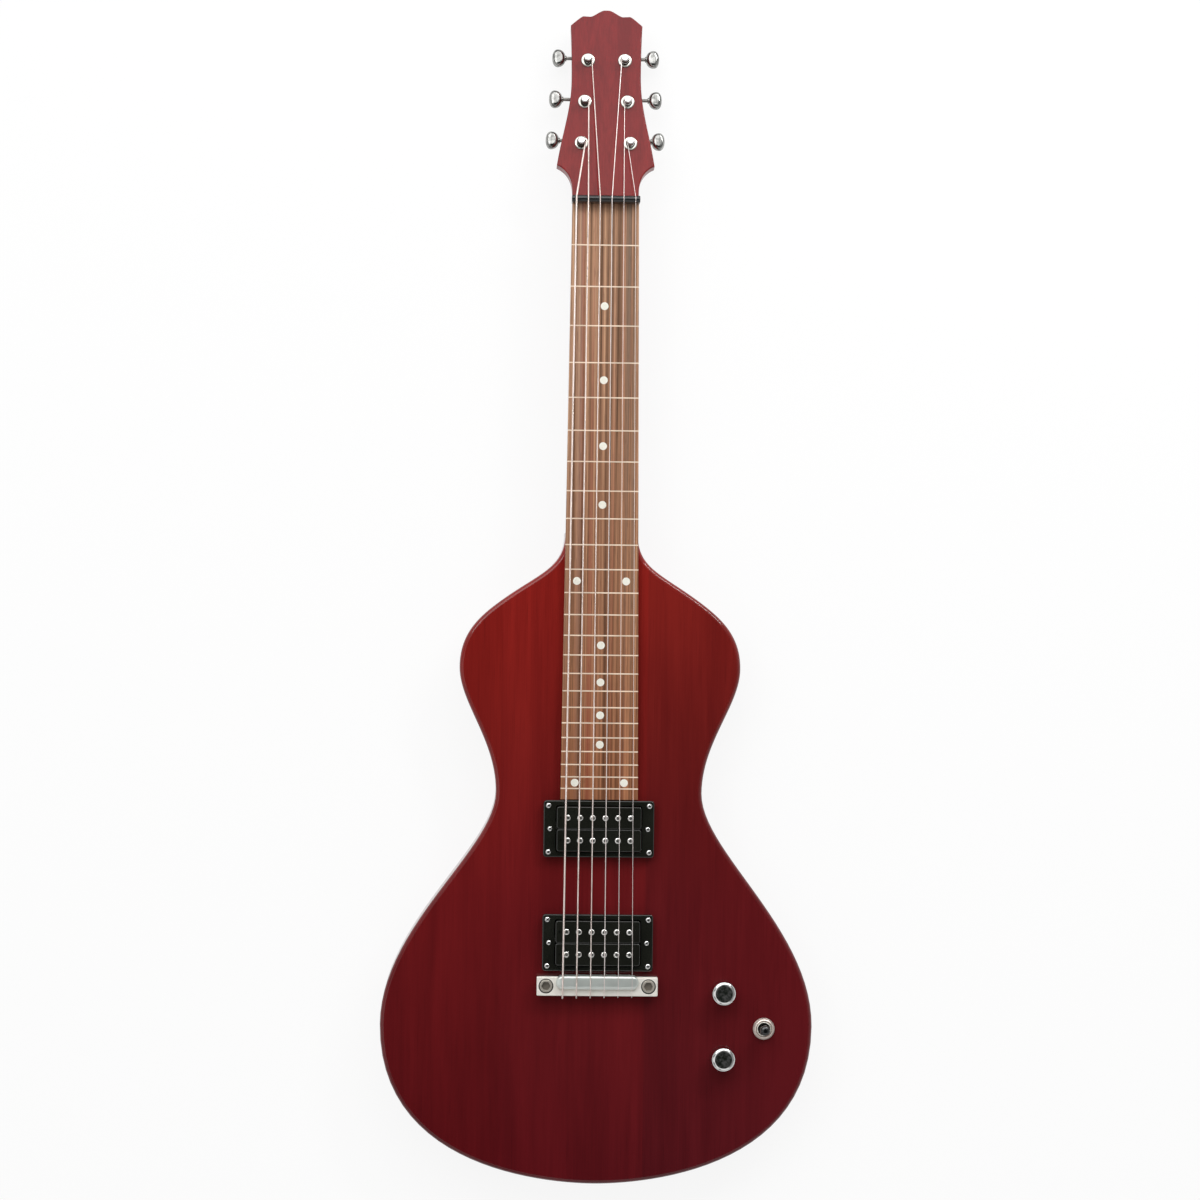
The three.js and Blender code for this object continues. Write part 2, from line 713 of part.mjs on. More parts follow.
function makeFingerboard() {
  const outline = new THREE.Shape([
    new THREE.Vector2(-boardEndWidth / 2, boardEndPlace),
    new THREE.Vector2(boardEndWidth / 2, boardEndPlace),
    new THREE.Vector2(boardNutWidth / 2, boardNutPlace),
    new THREE.Vector2(-boardNutWidth / 2, boardNutPlace),
  ]);
  const low = boardTop - inlayDepth;
  const high = boardTop + inlayProud;
  const proudBoard = slab(outline, faceZ + seatGap, high);
  const inlays = [];
  for (let fret = 1; fret <= fretCount; fret += 1) {
    const y = fretPlace(fret);
    const half = fretLineWidth / 2;
    const line = box([-boardEndWidth, y - half, low], [boardEndWidth, y + half, high]);
    inlays.push(common(line, proudBoard));
  }
  const dotAt = (x, fret) => {
    const y = (fretPlace(fret) + fretPlace(fret - 1)) / 2;
    return rod(dotDiameter, low, high, tinySides).translate(x, y, 0);
  };
  for (let fret = 1; fret <= fretCount; fret += 1) {
    const step = fret % octaveFretCount;
    if (step === 0) inlays.push(dotAt(-dotPairSpacing / 2, fret), dotAt(dotPairSpacing / 2, fret));
    if (singleDotFretCounts.includes(step)) inlays.push(dotAt(0, fret));
  }
  const board = slab(outline, faceZ + seatGap, boardTop);
  addPiece('fingerboard', 'rosewood', unite(board, ...inlays));
}

// Strings: each starts in the bridge, wraps round it, crosses saddle and nut, and ends at its post

function stringX(index, spread) {
  return mix(-spread / 2, spread / 2, index / (stringDiameters.length - 1));
}

function tunerOf(index) {
  const perSide = stringDiameters.length / 2;
  const bass = index < perSide;
  const step = bass ? index : stringDiameters.length - 1 - index;
  return { side: bass ? -1 : 1, x: (bass ? -1 : 1) * tunerSpreads[step] / 2, place: tunerPlaces[step] };
}

function wrapRadius(index) {
  return postWaistDiameter / 2 + stringDiameters[index] / 2 + wrapLooseness;
}

// Where the string touches the winding, in the headstock's plane, on the side near the centre line
function wrapTouch(index) {
  const tuner = tunerOf(index);
  const crown = nutCrown(index).applyMatrix4(headGroup.matrixWorld.clone().invert());
  const toPost = new THREE.Vector2(tuner.x - crown.x, tuner.place - crown.y);
  const open = Math.acos(wrapRadius(index) / toPost.length());
  const back = Math.atan2(-toPost.y, -toPost.x);
  const angle = back - tuner.side * open;
  return { tuner, crown, angle };
}

function nutCrown(index) {
  return point(stringX(index, stringSpreadAtNut), nutPlace + nutThickness / 4, stringZ - nutThickness / 16);
}

function stringRoute(index) {
  const diameter = stringDiameters[index];
  const bridgeX = stringX(index, stringSpreadAtBridge);
  const nutX = stringX(index, stringSpreadAtNut);
  const loop = clearance + diameter / 2;
  const tailX = -bridgeBack - loop;
  const ledge = bridgeTop + diameter / 2 + clearance;
  const bulge = (ledge - stringHoleZ) / 2;
  const onSaddle = saddleZ + diameter / 2 + seatGap;
  const points = [
    point(bridgeX, bridgeFront - ballPocketDepth / 2, stringHoleZ),
    point(bridgeX, -bridgeBack, stringHoleZ),
    point(bridgeX, tailX - bulge / 2, stringHoleZ + bulge / 4),
    point(bridgeX, tailX - bulge * 0.8, stringHoleZ + bulge),
    point(bridgeX, tailX - bulge / 2, ledge - bulge / 4),
    point(bridgeX, -bridgeBack, ledge),
    point(bridgeX, -saddleBack / 2, onSaddle),
    point(bridgeX, saddleBack / 2, onSaddle),
    point(nutX, nutPlace - nutThickness / 6, stringZ),
    nutCrown(index),
  ];
  const { tuner, crown, angle } = wrapTouch(index);
  const radius = wrapRadius(index);
  const touch = point(tuner.x + radius * Math.cos(angle), tuner.place + radius * Math.sin(angle), wrapHigh);
  const sweep = radius + diameter / 2 + clearance;
  const inner = radius - diameter / 2;
  const stop = Math.sqrt(sweep * sweep - inner * inner);
  const direction = crown.clone().sub(touch).normalize();
  touch.addScaledVector(direction, stop);
  points.push(touch.applyMatrix4(headGroup.matrixWorld));
  return points;
}

function makeStrings() {
  stringDiameters.forEach((diameter, index) => {
    const points = stringRoute(index);
    const ball = bore(ballDiameter, [points[0].x, points[0].y - ballLength / 2, points[0].z],
      [points[0].x, points[0].y + ballLength / 2, points[0].z], screwSides);
    addPiece(`string_${index + 1}`, 'steel', unite(routeTube(points, diameter, stringSides), ball));
  });
}

// Grooves along the last stops of each route, from the saddle to the post
function nutGrooves() {
  return stringDiameters.map((diameter, index) => {
    const points = stringRoute(index).slice(-nutRouteStops);
    return routeTube(points, diameter + 2 * clearance, stringSides);
  });
}

// Nut

function makeNut() {
  const half = nutThickness / 2;
  const profile = new THREE.Shape();
  profile.moveTo(nutPlace - half, faceZ + seatGap);
  profile.lineTo(nutPlace + half, faceZ + seatGap);
  profile.lineTo(nutPlace + half, stringZ - half);
  profile.absarc(nutPlace, stringZ - half, half, 0, Math.PI);
  profile.closePath();
  addPiece('nut', 'blackPlastic', carve(acrossBar(profile, nutWidth / 2), ...nutGrooves()));
}

// Bridge and its studs

function makeBridge() {
  const bottom = faceZ + bridgeLift;
  const length = bridgeBack + bridgeFront;
  const middle = (bridgeFront - bridgeBack) / 2;
  const block = softSlab(roundedRectangle(bridgeWidth, length, bridgeCorner), bottom, bridgeTop, bridgeEdge)
    .translate(0, middle, 0);
  const saddleLength = saddleFront + saddleBack;
  const saddlePlan = slab(roundedRectangle(saddleWidth, saddleLength, saddleLength / 2 - bridgeEdge),
    bottom + bridgeEdge, saddleZ + overrun).translate(0, (saddleFront - saddleBack) / 2, 0);
  const rise = saddleZ - bridgeTop;
  const side = new THREE.Shape();
  side.moveTo(-saddleBack, bottom);
  side.lineTo(saddleFront, bottom);
  side.lineTo(saddleFront, bridgeTop);
  side.quadraticCurveTo(saddleFront, bridgeTop + rise * saddleNoseShares.front, saddleFront / 2,
    saddleZ - rise / 8);
  side.quadraticCurveTo(saddleFront / 4, saddleZ, 0, saddleZ);
  side.quadraticCurveTo(-saddleBack / 2, saddleZ, -saddleBack, bridgeTop + rise * saddleNoseShares.back);
  side.closePath();
  const saddle = common(saddlePlan, acrossBar(side, saddleWidth));
  const holes = stringIndexes.map((index) => {
    const x = stringX(index, stringSpreadAtBridge);
    return unite(
      bore(stringHoleDiameter, [x, -bridgeBack - overrun, stringHoleZ], [x, saddleFront, stringHoleZ],
        screwSides),
      bore(ballDiameter + 2 * ballRoom, [x, bridgeFront - ballPocketDepth, stringHoleZ],
        [x, saddleFront + overrun, stringHoleZ], screwSides));
  });
  const studHoles = [-studSpread / 2, studSpread / 2].map((x) => unite(
    rod(studHeadDiameter + 2 * clearance, bridgeTop - studHeadHeight - clearance, bridgeTop + overrun,
      roundSides),
    rod(studNeckDiameter + 2 * clearance, bottom - overrun, bridgeTop, tinySides))
    .translate(x, studPlace, 0));
  addPiece('bridge', 'chrome', carve(unite(block, saddle), ...holes, ...studHoles));

  const flangeTop = bottom - seatGap;
  const stud = carve(
    unite(
      rod(studHeadDiameter, bridgeTop - studHeadHeight, bridgeTop, roundSides),
      rod(studNeckDiameter, faceZ, bridgeTop - studHeadHeight / 2, tinySides),
      rod(studFlangeDiameter, flangeTop - studFlangeHeight, flangeTop, roundSides),
      rod(studShankDiameter, faceZ - studShankLength, faceZ + seatGap, smallSides)),
    hexRod(studHexAcross, bridgeTop - studHexDepth, bridgeTop + overrun));
  addPiece('bridge_stud_bass', 'chrome', stud, [-studSpread / 2, studPlace, 0]);
  addPiece('bridge_stud_treble', 'chrome', stud, [studSpread / 2, studPlace, 0]);
}

// Machine heads: bushing, post with wheel and winding, worm with button, and the plate that holds them

function makeBushing() {
  const inner = postDiameter / 2 + clearance;
  const outer = bushingDiameter / 2;
  const flange = flangeDiameter / 2;
  const bevel = flangeHeight / 2;
  return turned([
    [inner, -bushingDepth], [outer, -bushingDepth], [outer, seatGap], [flange, seatGap],
    [flange, flangeHeight - bevel], [inner, flangeHeight], [inner, -bushingDepth],
  ], smallSides);
}

// The profile of one tooth, also of the worm's thread: shares of the pitch from its middle, and radii
function toothStops(rootRadius, crestRadius) {
  return [[-toothCrestShare, crestRadius], [toothCrestShare, crestRadius], [1 / 2, rootRadius]];
}

function wheelOutline() {
  const rootRadius = wheelPitchDiameter / 2 - toothBelowPitch;
  const crestRadius = wheelPitchDiameter / 2 + toothAbovePitch;
  const step = 2 * Math.PI / wheelTeeth;
  const corners = [];
  for (let tooth = 0; tooth < wheelTeeth; tooth += 1) {
    const centre = (tooth + 1 / 2) * step;
    for (const [share, radius] of toothStops(rootRadius, crestRadius)) {
      const angle = centre + share * step;
      corners.push(new THREE.Vector2(radius * Math.cos(angle), radius * Math.sin(angle)));
    }
  }
  return new THREE.Shape(corners);
}

function makeWheel() {
  const wheel = slab(wheelOutline(), -wheelWidth / 2, wheelWidth / 2);
  const lean = threadPitch / (Math.PI * wormPitchDiameter) / (wheelPitchDiameter / 2);
  const places = wheel.attributes.position;
  for (let i = 0; i < places.count; i += 1) {
    const corner = point().fromBufferAttribute(places, i);
    corner.applyAxisAngle(point(0, 0, 1), lean * corner.z);
    places.setXYZ(i, corner.x, corner.y, corner.z);
  }
  return wheel.translate(0, 0, wormHeight);
}

// The winding as one unbroken tube, in the frame of its post; its tail goes into the post
function windingRoute(index) {
  const { tuner, angle } = wrapTouch(index);
  const pitch = stringDiameters[index] + wrapGap;
  const points = [];
  for (let i = 0; i <= wrapTurns * wrapSteps; i += 1) {
    const turn = i / wrapSteps;
    const around = angle - tuner.side * 2 * Math.PI * turn;
    const radius = wrapRadius(index);
    points.push(point(radius * Math.cos(around), radius * Math.sin(around), wrapHigh - pitch * turn));
  }
  const last = points[points.length - 1];
  points.push(point(last.x / 4, last.y / 4, last.z));
  return points;
}

function leastWindingGap(points, diameter) {
  let least = Infinity;
  for (let i = 0; i < points.length; i += 1) {
    for (let j = i + wrapSteps / 2; j < points.length - 1; j += 1) {
      least = Math.min(least, points[i].distanceTo(points[j]) - diameter);
    }
  }
  return least;
}

function makePost(index) {
  const radius = postDiameter / 2;
  const waist = postWaistDiameter / 2;
  const hub = wheelHubDiameter / 2;
  const hubTop = plateBottom - clearance;
  const flare = radius - waist;
  // The facets of the post turn with the winding, so both keep the same distance all round
  const post = turned([
    [0, postHeight], [radius - postTip, postHeight], [radius, postHeight - postTip],
    [radius, waistTop + flare],
    [waist, waistTop], [waist, waistBottom], [radius, waistBottom - flare], [radius, hubTop],
    [hub, hubTop], [hub, wormHeight], [0, wormHeight], [0, postHeight],
  ], wrapSteps).rotateZ(wrapTouch(index).angle + Math.PI / 2);
  const route = windingRoute(index);
  const winding = routeTube(route, stringDiameters[index], stringSides);
  const least = leastWindingGap(route, stringDiameters[index]);
  console.log(`winding ${index + 1}: least gap ${least.toFixed(2)} mm`);
  return unite(post, makeWheel(), winding);
}

// A single thread on its core, trimmed square at both ends
function makeWorm(headward) {
  const rootRadius = wormPitchDiameter / 2 - toothBelowPitch;
  const crestRadius = wormPitchDiameter / 2 + toothAbovePitch;
  const stops = toothStops(rootRadius, crestRadius);
  const facing = headward > 0 ? Math.PI : 0;
  const sides = tinySides;
  const turns = Math.ceil(wormLength / threadPitch / 2) + 1;
  const positions = [];
  const index = [];
  const rows = (2 * turns + 1) * stops.length;
  for (let row = 0; row < rows; row += 1) {
    const [share, radius] = stops[row % stops.length];
    const turn = Math.floor(row / stops.length) - turns;
    for (let i = 0; i < sides; i += 1) {
      const angle = facing + 2 * Math.PI * i / sides;
      const x = threadPitch * (turn + share + i / sides);
      positions.push(x, radius * Math.cos(angle), radius * Math.sin(angle));
    }
  }
  const nextColumn = (row, i) => (i + 1 < sides ? row * sides + i + 1 : (row + stops.length) * sides);
  const lastFull = rows - stops.length;
  for (let row = 0; row + 1 < rows; row += 1) {
    for (let i = 0; i < sides; i += 1) {
      if (i + 1 === sides && row + 1 >= lastFull) continue;
      const [a, b] = [row * sides + i, (row + 1) * sides + i];
      const [c, d] = [nextColumn(row, i), nextColumn(row + 1, i)];
      index.push(a, b, d, a, d, c);
    }
  }
  closeHelixEnds(positions, index);
  const geometry = new THREE.BufferGeometry();
  geometry.setAttribute('position', new THREE.Float32BufferAttribute(positions, 3));
  geometry.setIndex(index);
  const trim = bore(2 * crestRadius + overrun, [-wormLength / 2, 0, 0], [wormLength / 2, 0, 0], tinySides);
  return common(geometry, trim);
}

// Fans each open edge loop to a point on the axis
function closeHelixEnds(positions, index) {
  const open = new Map();
  const seen = new Set();
  for (let i = 0; i < index.length; i += 3) {
    for (let j = 0; j < 3; j += 1) seen.add(`${index[i + j]} ${index[i + (j + 1) % 3]}`);
  }
  for (const edge of seen) {
    const [from, to] = edge.split(' ').map(Number);
    if (!seen.has(`${to} ${from}`)) open.set(to, from);
  }
  while (open.size > 0) {
    const loop = [open.keys().next().value];
    while (open.has(loop[loop.length - 1])) {
      const next = open.get(loop[loop.length - 1]);
      open.delete(loop[loop.length - 1]);
      loop.push(next);
    }
    const total = loop.slice(1).reduce((sum, corner) => sum + positions[3 * corner], 0);
    const hub = positions.length / 3;
    positions.push(total / (loop.length - 1), 0, 0);
    for (let i = 0; i + 1 < loop.length; i += 1) index.push(hub, loop[i], loop[i + 1]);
  }
}

function makeButton(headward) {
  const earOuter = wormEarPlace + earThickness / 2;
  const buttonStart = buttonReach - buttonLength / 2;
  const shaft = bore(wormShaftDiameter, [-earOuter - collarLength / 2, 0, 0], [buttonReach, 0, 0], tinySides);
  const collarStart = earOuter + clearance;
  const collar = bore(collarDiameter, [collarStart, 0, 0], [collarStart + collarLength, 0, 0], tinySides);
  const ferrule = bore(collarDiameter, [buttonStart - collarLength / 2, 0, 0],
    [buttonStart + collarLength, 0, 0], tinySides);
  const knob = new THREE.SphereGeometry(1, tinySides, screwSides).rotateZ(-Math.PI / 2);
  const places = knob.attributes.position;
  for (let i = 0; i < places.count; i += 1) {
    const swell = 1 + buttonEggShare * places.getX(i);
    places.setXYZ(i, buttonReach + places.getX(i) * buttonLength / 2,
      places.getY(i) * swell * buttonWidth / 2, places.getZ(i) * swell * buttonThickness / 2);
  }
  return unite(shaft, collar, ferrule, knob, makeWorm(headward));
}

function makePlate(headward) {
  const low = headward > 0 ? -plateTailReach : -plateHeadReach;
  const high = headward > 0 ? plateHeadReach : plateTailReach;
  const plate = slab(roundedRectangle(plateWidth, high - low, plateCorner), plateBottom, plateTop)
    .translate(0, (low + high) / 2, 0);
  const wormY = headward * wormCentreDistance;
  const earBottom = wormHeight - earSpan / 2;
  const ears = [-wormEarPlace, wormEarPlace].map((x) => unite(
    box([x - earThickness / 2, wormY - earSpan / 2, wormHeight],
      [x + earThickness / 2, wormY + earSpan / 2, plateBottom + plateThickness / 2]),
    bore(earSpan, [x - earThickness / 2, wormY, wormHeight], [x + earThickness / 2, wormY, wormHeight],
      screwSides)));
  const postHole = rod(postDiameter + 2 * clearance, earBottom, plateTop + overrun, smallSides);
  const shaftHole = bore(wormShaftDiameter + 2 * clearance, [-plateWidth, wormY, wormHeight],
    [plateWidth, wormY, wormHeight], tinySides);
  return carve(unite(plate, ...ears), postHole, shaftHole);
}

function makeTuners() {
  stringIndexes.forEach((index) => {
    const tuner = tunerOf(index);
    const name = `tuner_${index + 1}`;
    const place = [tuner.x, tuner.place, 0];
    const headward = tuner.side;
    const outward = tuner.side > 0 ? 0 : Math.PI;
    addPiece(`${name}_bushing`, 'chrome', makeBushing(), place, headGroup);
    addPiece(`${name}_post`, 'chrome', makePost(index), place, headGroup);
    addPiece(`${name}_plate`, 'chrome', makePlate(headward), place, headGroup).rotation.z = outward;
    const wormPlace = [tuner.x, tuner.place + wormCentreDistance, wormHeight];
    addPiece(`${name}_button`, 'chrome', makeButton(headward), wormPlace, headGroup).rotation.z = outward;
  });
}

// Pickups

function screwHead(diameter, bottom, height) {
  const top = bottom + height;
  return turned([[0, bottom], [diameter / 2, bottom], [diameter / 3, top], [0, top]], screwSides);
}

function poleX(index) {
  return (index - (stringDiameters.length - 1) / 2) * polePitch;
}

function makeRing() {
  const outline = roundedRectangle(ringWidth, ringLength, ringCorner);
  const room = 2 * clearance + ringEdge;
  const window = roundedRectangle(bobbinLength + room, bobbinPairLength + room, bobbinCorner, THREE.Path);
  outline.holes.push(window);
  const frame = softSlab(outline, seatGap, ringHeight, ringEdge);
  const slots = [-heightScrewSpread / 2, heightScrewSpread / 2].map((x) => (
    rod(heightScrewDiameter + 2 * clearance, -overrun, ringHeight + overrun, tinySides).translate(x, 0, 0)));
  return carve(frame, ...slots);
}

function bobbinTop() {
  return ringHeight + bobbinProud;
}

function makeBobbin() {
  const top = bobbinTop();
  const bottom = top - bobbinHeight;
  const flange = roundedRectangle(bobbinLength, bobbinWidth, bobbinCorner);
  const coil = roundedRectangle(bobbinLength - 2 * bobbinCoilInset, bobbinWidth - 2 * bobbinCoilInset,
    bobbinCorner);
  const spool = unite(
    slab(flange, top - bobbinFlange, top, 1),
    slab(flange, bottom, bottom + bobbinFlange, 1),
    slab(coil, bottom + bobbinFlange / 2, top - bobbinFlange / 2, 1));
  const holes = stringIndexes.map((index) => (
    rod(poleDiameter + 2 * clearance, bottom - overrun, top + overrun, tinySides)
      .translate(poleX(index), 0, 0)));
  return carve(spool, ...holes);
}

function makePoleRow() {
  const headTop = bobbinTop() + poleProud;
  const keeperTop = bobbinTop() - bobbinHeight - clearance;
  const keeperBottom = keeperTop - magnetThickness;
  const keeper = box([-keeperLength / 2, -keeperWidth / 2, keeperBottom],
    [keeperLength / 2, keeperWidth / 2, keeperTop]);
  const poles = stringIndexes.map((index) => (
    rod(poleDiameter, keeperBottom + magnetThickness / 2, headTop, tinySides).translate(poleX(index), 0, 0)));
  return unite(keeper, ...poles);
}

function makeBasePlate() {
  const top = bobbinTop() - bobbinHeight - 2 * clearance - magnetThickness;
  const bottom = top - basePlateThickness;
  const footBottom = bottom - footDrop;
  const reach = heightScrewSpread / 2 + heightScrewDiameter;
  const screwBottom = footBottom - heightScrewTail;
  const screwTop = ringHeight + heightScrewHeadHeight / 2;
  const plate = slab(roundedRectangle(basePlateWidth, basePlateLength, bobbinCorner), bottom, top);
  const feet = [-1, 1].flatMap((side) => {
    const wall = side * (basePlateWidth / 2 - basePlateThickness);
    const outer = side * reach;
    return [
      box([Math.min(wall, wall + side * basePlateThickness), -footWidth / 2, footBottom],
        [Math.max(wall, wall + side * basePlateThickness), footWidth / 2, top - basePlateThickness / 2]),
      box([Math.min(wall, outer), -footWidth / 2, footBottom],
        [Math.max(wall, outer), footWidth / 2, footBottom + basePlateThickness]),
      rod(heightScrewDiameter, screwBottom, screwTop, screwSides)
        .translate(side * heightScrewSpread / 2, 0, 0),
      screwHead(heightScrewHead, ringHeight + seatGap, heightScrewHeadHeight)
        .translate(side * heightScrewSpread / 2, 0, 0),
    ];
  });
  return unite(plate, ...feet);
}

function makePickups() {
  const ring = makeRing();
  const bobbin = makeBobbin();
  const poleRow = makePoleRow();
  const basePlate = makeBasePlate();
  const magnetTop = bobbinTop() - bobbinHeight - clearance;
  const magnet = box([-magnetLength / 2, -magnetWidth / 2, magnetTop - magnetThickness],
    [magnetLength / 2, magnetWidth / 2, magnetTop]);
  const pickups = { neck_pickup: neckPickupPlace, bridge_pickup: bridgePickupPlace };
  for (const [name, place] of Object.entries(pickups)) {
    const headRow = place + poleRowSpacing / 2;
    const tailRow = place - poleRowSpacing / 2;
    addPiece(`${name}_ring`, 'blackPlastic', ring, [0, place, faceZ]);
    addPiece(`${name}_base_plate`, 'nickel', basePlate, [0, place, faceZ]);
    addPiece(`${name}_bobbin_head_side`, 'blackPlastic', bobbin, [0, headRow, faceZ]);
    addPiece(`${name}_bobbin_tail_side`, 'blackPlastic', bobbin, [0, tailRow, faceZ]);
    addPiece(`${name}_poles_head_side`, 'chrome', poleRow, [0, headRow, faceZ]);
    addPiece(`${name}_poles_tail_side`, 'chrome', poleRow, [0, tailRow, faceZ]);
    addPiece(`${name}_magnet`, 'darkMagnet', magnet, [0, place, faceZ]);
  }
}

// Knobs and potentiometers

function makeKnob() {
  const radius = knobDiameter / 2;
  const bottom = faceZ + knobLift;
  const top = bottom + knobHeight;
  const skirt = knobSkirtDiameter / 2;
  const shaft = potShaftDiameter / 2;
  return turned([
    [0, top], [radius - knobEdge, top - knobDome],
    [radius - knobEdge * knobEdgeShares.inset, top - knobDome - knobEdge * knobEdgeShares.fall],
    [radius, top - knobDome - knobEdge],
    [radius, bottom], [skirt, bottom], [skirt, bottom + knobSkirtDepth], [shaft, bottom + knobSkirtDepth],
    [shaft, faceZ - potShaftDepth], [0, faceZ - potShaftDepth], [0, top],
  ], wideSides);
}

function makePot() {
  const canTop = controlCeiling - clearance;
  const canBottom = canTop - potCanHeight;
  const washerBottom = faceZ + seatGap;
  const nutTop = washerBottom + potWasherHeight + potNutHeight;
  const can = rod(potCanDiameter, canBottom, canTop, wideSides);
  const bushing = rod(potBushingDiameter, canTop - overrun, nutTop, smallSides);
  const washer = rod(potWasherDiameter, washerBottom, washerBottom + potWasherHeight, roundSides);
  const nut = hexRod(potNutAcross, washerBottom + potWasherHeight / 2, nutTop);
  const lugReach = potCanDiameter / 2 + potLugReach;
  const lugs = box([-lugReach, -potLugWidth / 2, canTop - 2 * potLugThickness],
    [0, potLugWidth / 2, canTop - potLugThickness]);
  const shaftHole = rod(potShaftDiameter + 2 * clearance, faceZ - potShaftDepth - clearance, nutTop + overrun,
    tinySides);
  return carve(unite(can, bushing, washer, nut, lugs), shaftHole);
}

function makeControls() {
  const knob = makeKnob();
  const pot = makePot();
  addPiece('volume_knob', 'chrome', knob, [knobLine, volumePlace, 0]);
  addPiece('tone_knob', 'chrome', knob, [knobLine, tonePlace, 0]);
  addPiece('volume_pot', 'steel', pot, [knobLine, volumePlace, 0]);
  addPiece('tone_pot', 'steel', pot, [knobLine, tonePlace, 0]);
}

// Selector switch with its lever, which rocks on a ball in the barrel

function makeSelector() {
  const nutBottom = faceZ + seatGap;
  const nutTop = nutBottom + selectorNutHeight;
  const barrelTop = nutTop + selectorCollarHeight;
  const frameTop = controlCeiling - clearance;
  const frame = box([-selectorFrameWidth / 2, -selectorFrameLength / 2, frameTop - selectorFrameHeight],
    [selectorFrameWidth / 2, selectorFrameLength / 2, frameTop]);
  const barrel = rod(selectorBarrelDiameter, frameTop - overrun, nutTop, smallSides);
  const nut = turned([[0, nutBottom], [selectorNutDiameter / 2, nutBottom],
    [selectorNutDiameter / 2, nutTop - selectorCollarHeight / 2], [selectorCollarDiameter / 2, nutTop],
    [selectorBarrelDiameter / 2, barrelTop], [0, barrelTop]], wideSides);
  const pivot = faceZ;
  const roomRadius = leverBallDiameter / 2 + clearance;
  const wellBottom = pivot - 2 * roomRadius;
  const wellTop = barrelTop + overrun;
  const well = turned([[0, wellBottom], [roomRadius, wellBottom], [roomRadius, pivot + roomRadius],
    [selectorBore / 2, wellTop], [0, wellTop], [0, wellBottom]], smallSides);
  addPiece('selector_switch', 'chrome', carve(unite(frame, barrel, nut), well),
    [selectorLine, selectorPlace, 0]);

  const ball = new THREE.SphereGeometry(leverBallDiameter / 2, tinySides, screwSides).rotateX(Math.PI / 2)
    .translate(0, 0, pivot);
  const tip = pivot + leverLength;
  const tipRadius = leverTipDiameter / 2;
  const handle = turned([[0, pivot], [leverDiameter / 2, pivot], [leverDiameter / 2, tip - leverTipLength],
    [tipRadius, tip - leverTipLength * leverTipShares.bottom],
    [tipRadius, tip - leverTipLength * leverTipShares.top], [0, tip]], tinySides);
  addPiece('selector_lever', 'blackPlastic', unite(ball, handle), [selectorLine, selectorPlace, 0]);
}

// Output jack and the cover of the control cavity

function makeJack() {
  const seat = lowerBoutWidth / 2 - jackRecessDepth + clearance;
  const y = lowerBoutPlace;
  const z = jackHeight;
  const alongX = (diameter, from, to, sides) => bore(diameter, [from, y, z], [to, y, z], sides);
  const nutStart = seat + jackWasherHeight;
  const nutEnd = nutStart + jackNutHeight;
  const barrel = alongX(jackBarrelDiameter, seat - jackBarrelLength, nutEnd, roundSides);
  const washer = alongX(jackWasherDiameter, seat, nutStart, wideSides);
  const nut = alongX(jackNutAcross / Math.cos(Math.PI / 6), nutStart - jackWasherHeight / 2, nutEnd, 6);
  const plugHole = alongX(jackBore, seat - jackBarrelLength + jackEndWall, nutEnd + overrun, wideSides);
  addPiece('output_jack', 'nickel', carve(unite(barrel, washer, nut), plugHole));
}

function makeCover() {
  const outline = bandRound(controlStations(), controlMargin + coverMargin - clearance);
  const plate = slab(outline, seatGap, coverThickness);
  const middleX = (2 * knobLine + selectorLine) / 3;
  const middleY = (volumePlace + tonePlace + selectorPlace) / 3;
  const recesses = controlStations().map(([x, y]) => {
    const outward = new THREE.Vector2(x - middleX, y - middleY).normalize()
      .multiplyScalar(controlMargin + coverMargin / 2);
    const slot = box([-coverScrewDiameter / 2, -coverScrewSlot / 2, -overrun],
      [coverScrewDiameter / 2, coverScrewSlot / 2, seatGap + coverThickness / 4]);
    return slot.translate(x + outward.x, y + outward.y, 0);
  });
  addPiece('control_cover', 'blackPlastic', carve(plate, ...recesses));
}

makeBody();
makeNeck();
makeFingerboard();
makeNut();
makeStrings();
makeBridge();
makeTuners();
makePickups();
makeControls();
makeSelector();
makeJack();
makeCover();

export default guitar;
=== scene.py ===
import json
from math import acos, atan2, copysign, cos, pi, radians, sin, sqrt, tan

import bpy
from mathutils import Matrix, Vector


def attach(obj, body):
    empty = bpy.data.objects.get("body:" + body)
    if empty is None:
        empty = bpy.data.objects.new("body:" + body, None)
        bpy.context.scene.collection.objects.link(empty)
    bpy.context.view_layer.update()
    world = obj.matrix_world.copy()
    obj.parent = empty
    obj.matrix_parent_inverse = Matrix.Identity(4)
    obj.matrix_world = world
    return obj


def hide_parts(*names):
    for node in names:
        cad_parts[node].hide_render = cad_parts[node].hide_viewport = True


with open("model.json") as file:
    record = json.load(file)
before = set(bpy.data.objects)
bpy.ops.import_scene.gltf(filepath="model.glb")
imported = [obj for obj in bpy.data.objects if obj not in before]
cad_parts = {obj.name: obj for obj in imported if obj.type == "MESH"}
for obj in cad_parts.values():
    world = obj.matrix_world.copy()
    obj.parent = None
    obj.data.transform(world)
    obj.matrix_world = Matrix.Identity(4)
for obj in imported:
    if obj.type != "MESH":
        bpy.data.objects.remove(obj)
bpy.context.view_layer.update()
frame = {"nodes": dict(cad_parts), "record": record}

# Looks of a lap steel guitar that lies on its back. Lengths are in millimetres until a mesh is made.
mm = 0.001
scene = bpy.context.scene
bodyOf = {node: body for body, nodes in frame["record"]["behaviour"]["bodies"].items() for node in nodes}
print("frame loaded:", len(frame["nodes"]), "nodes")

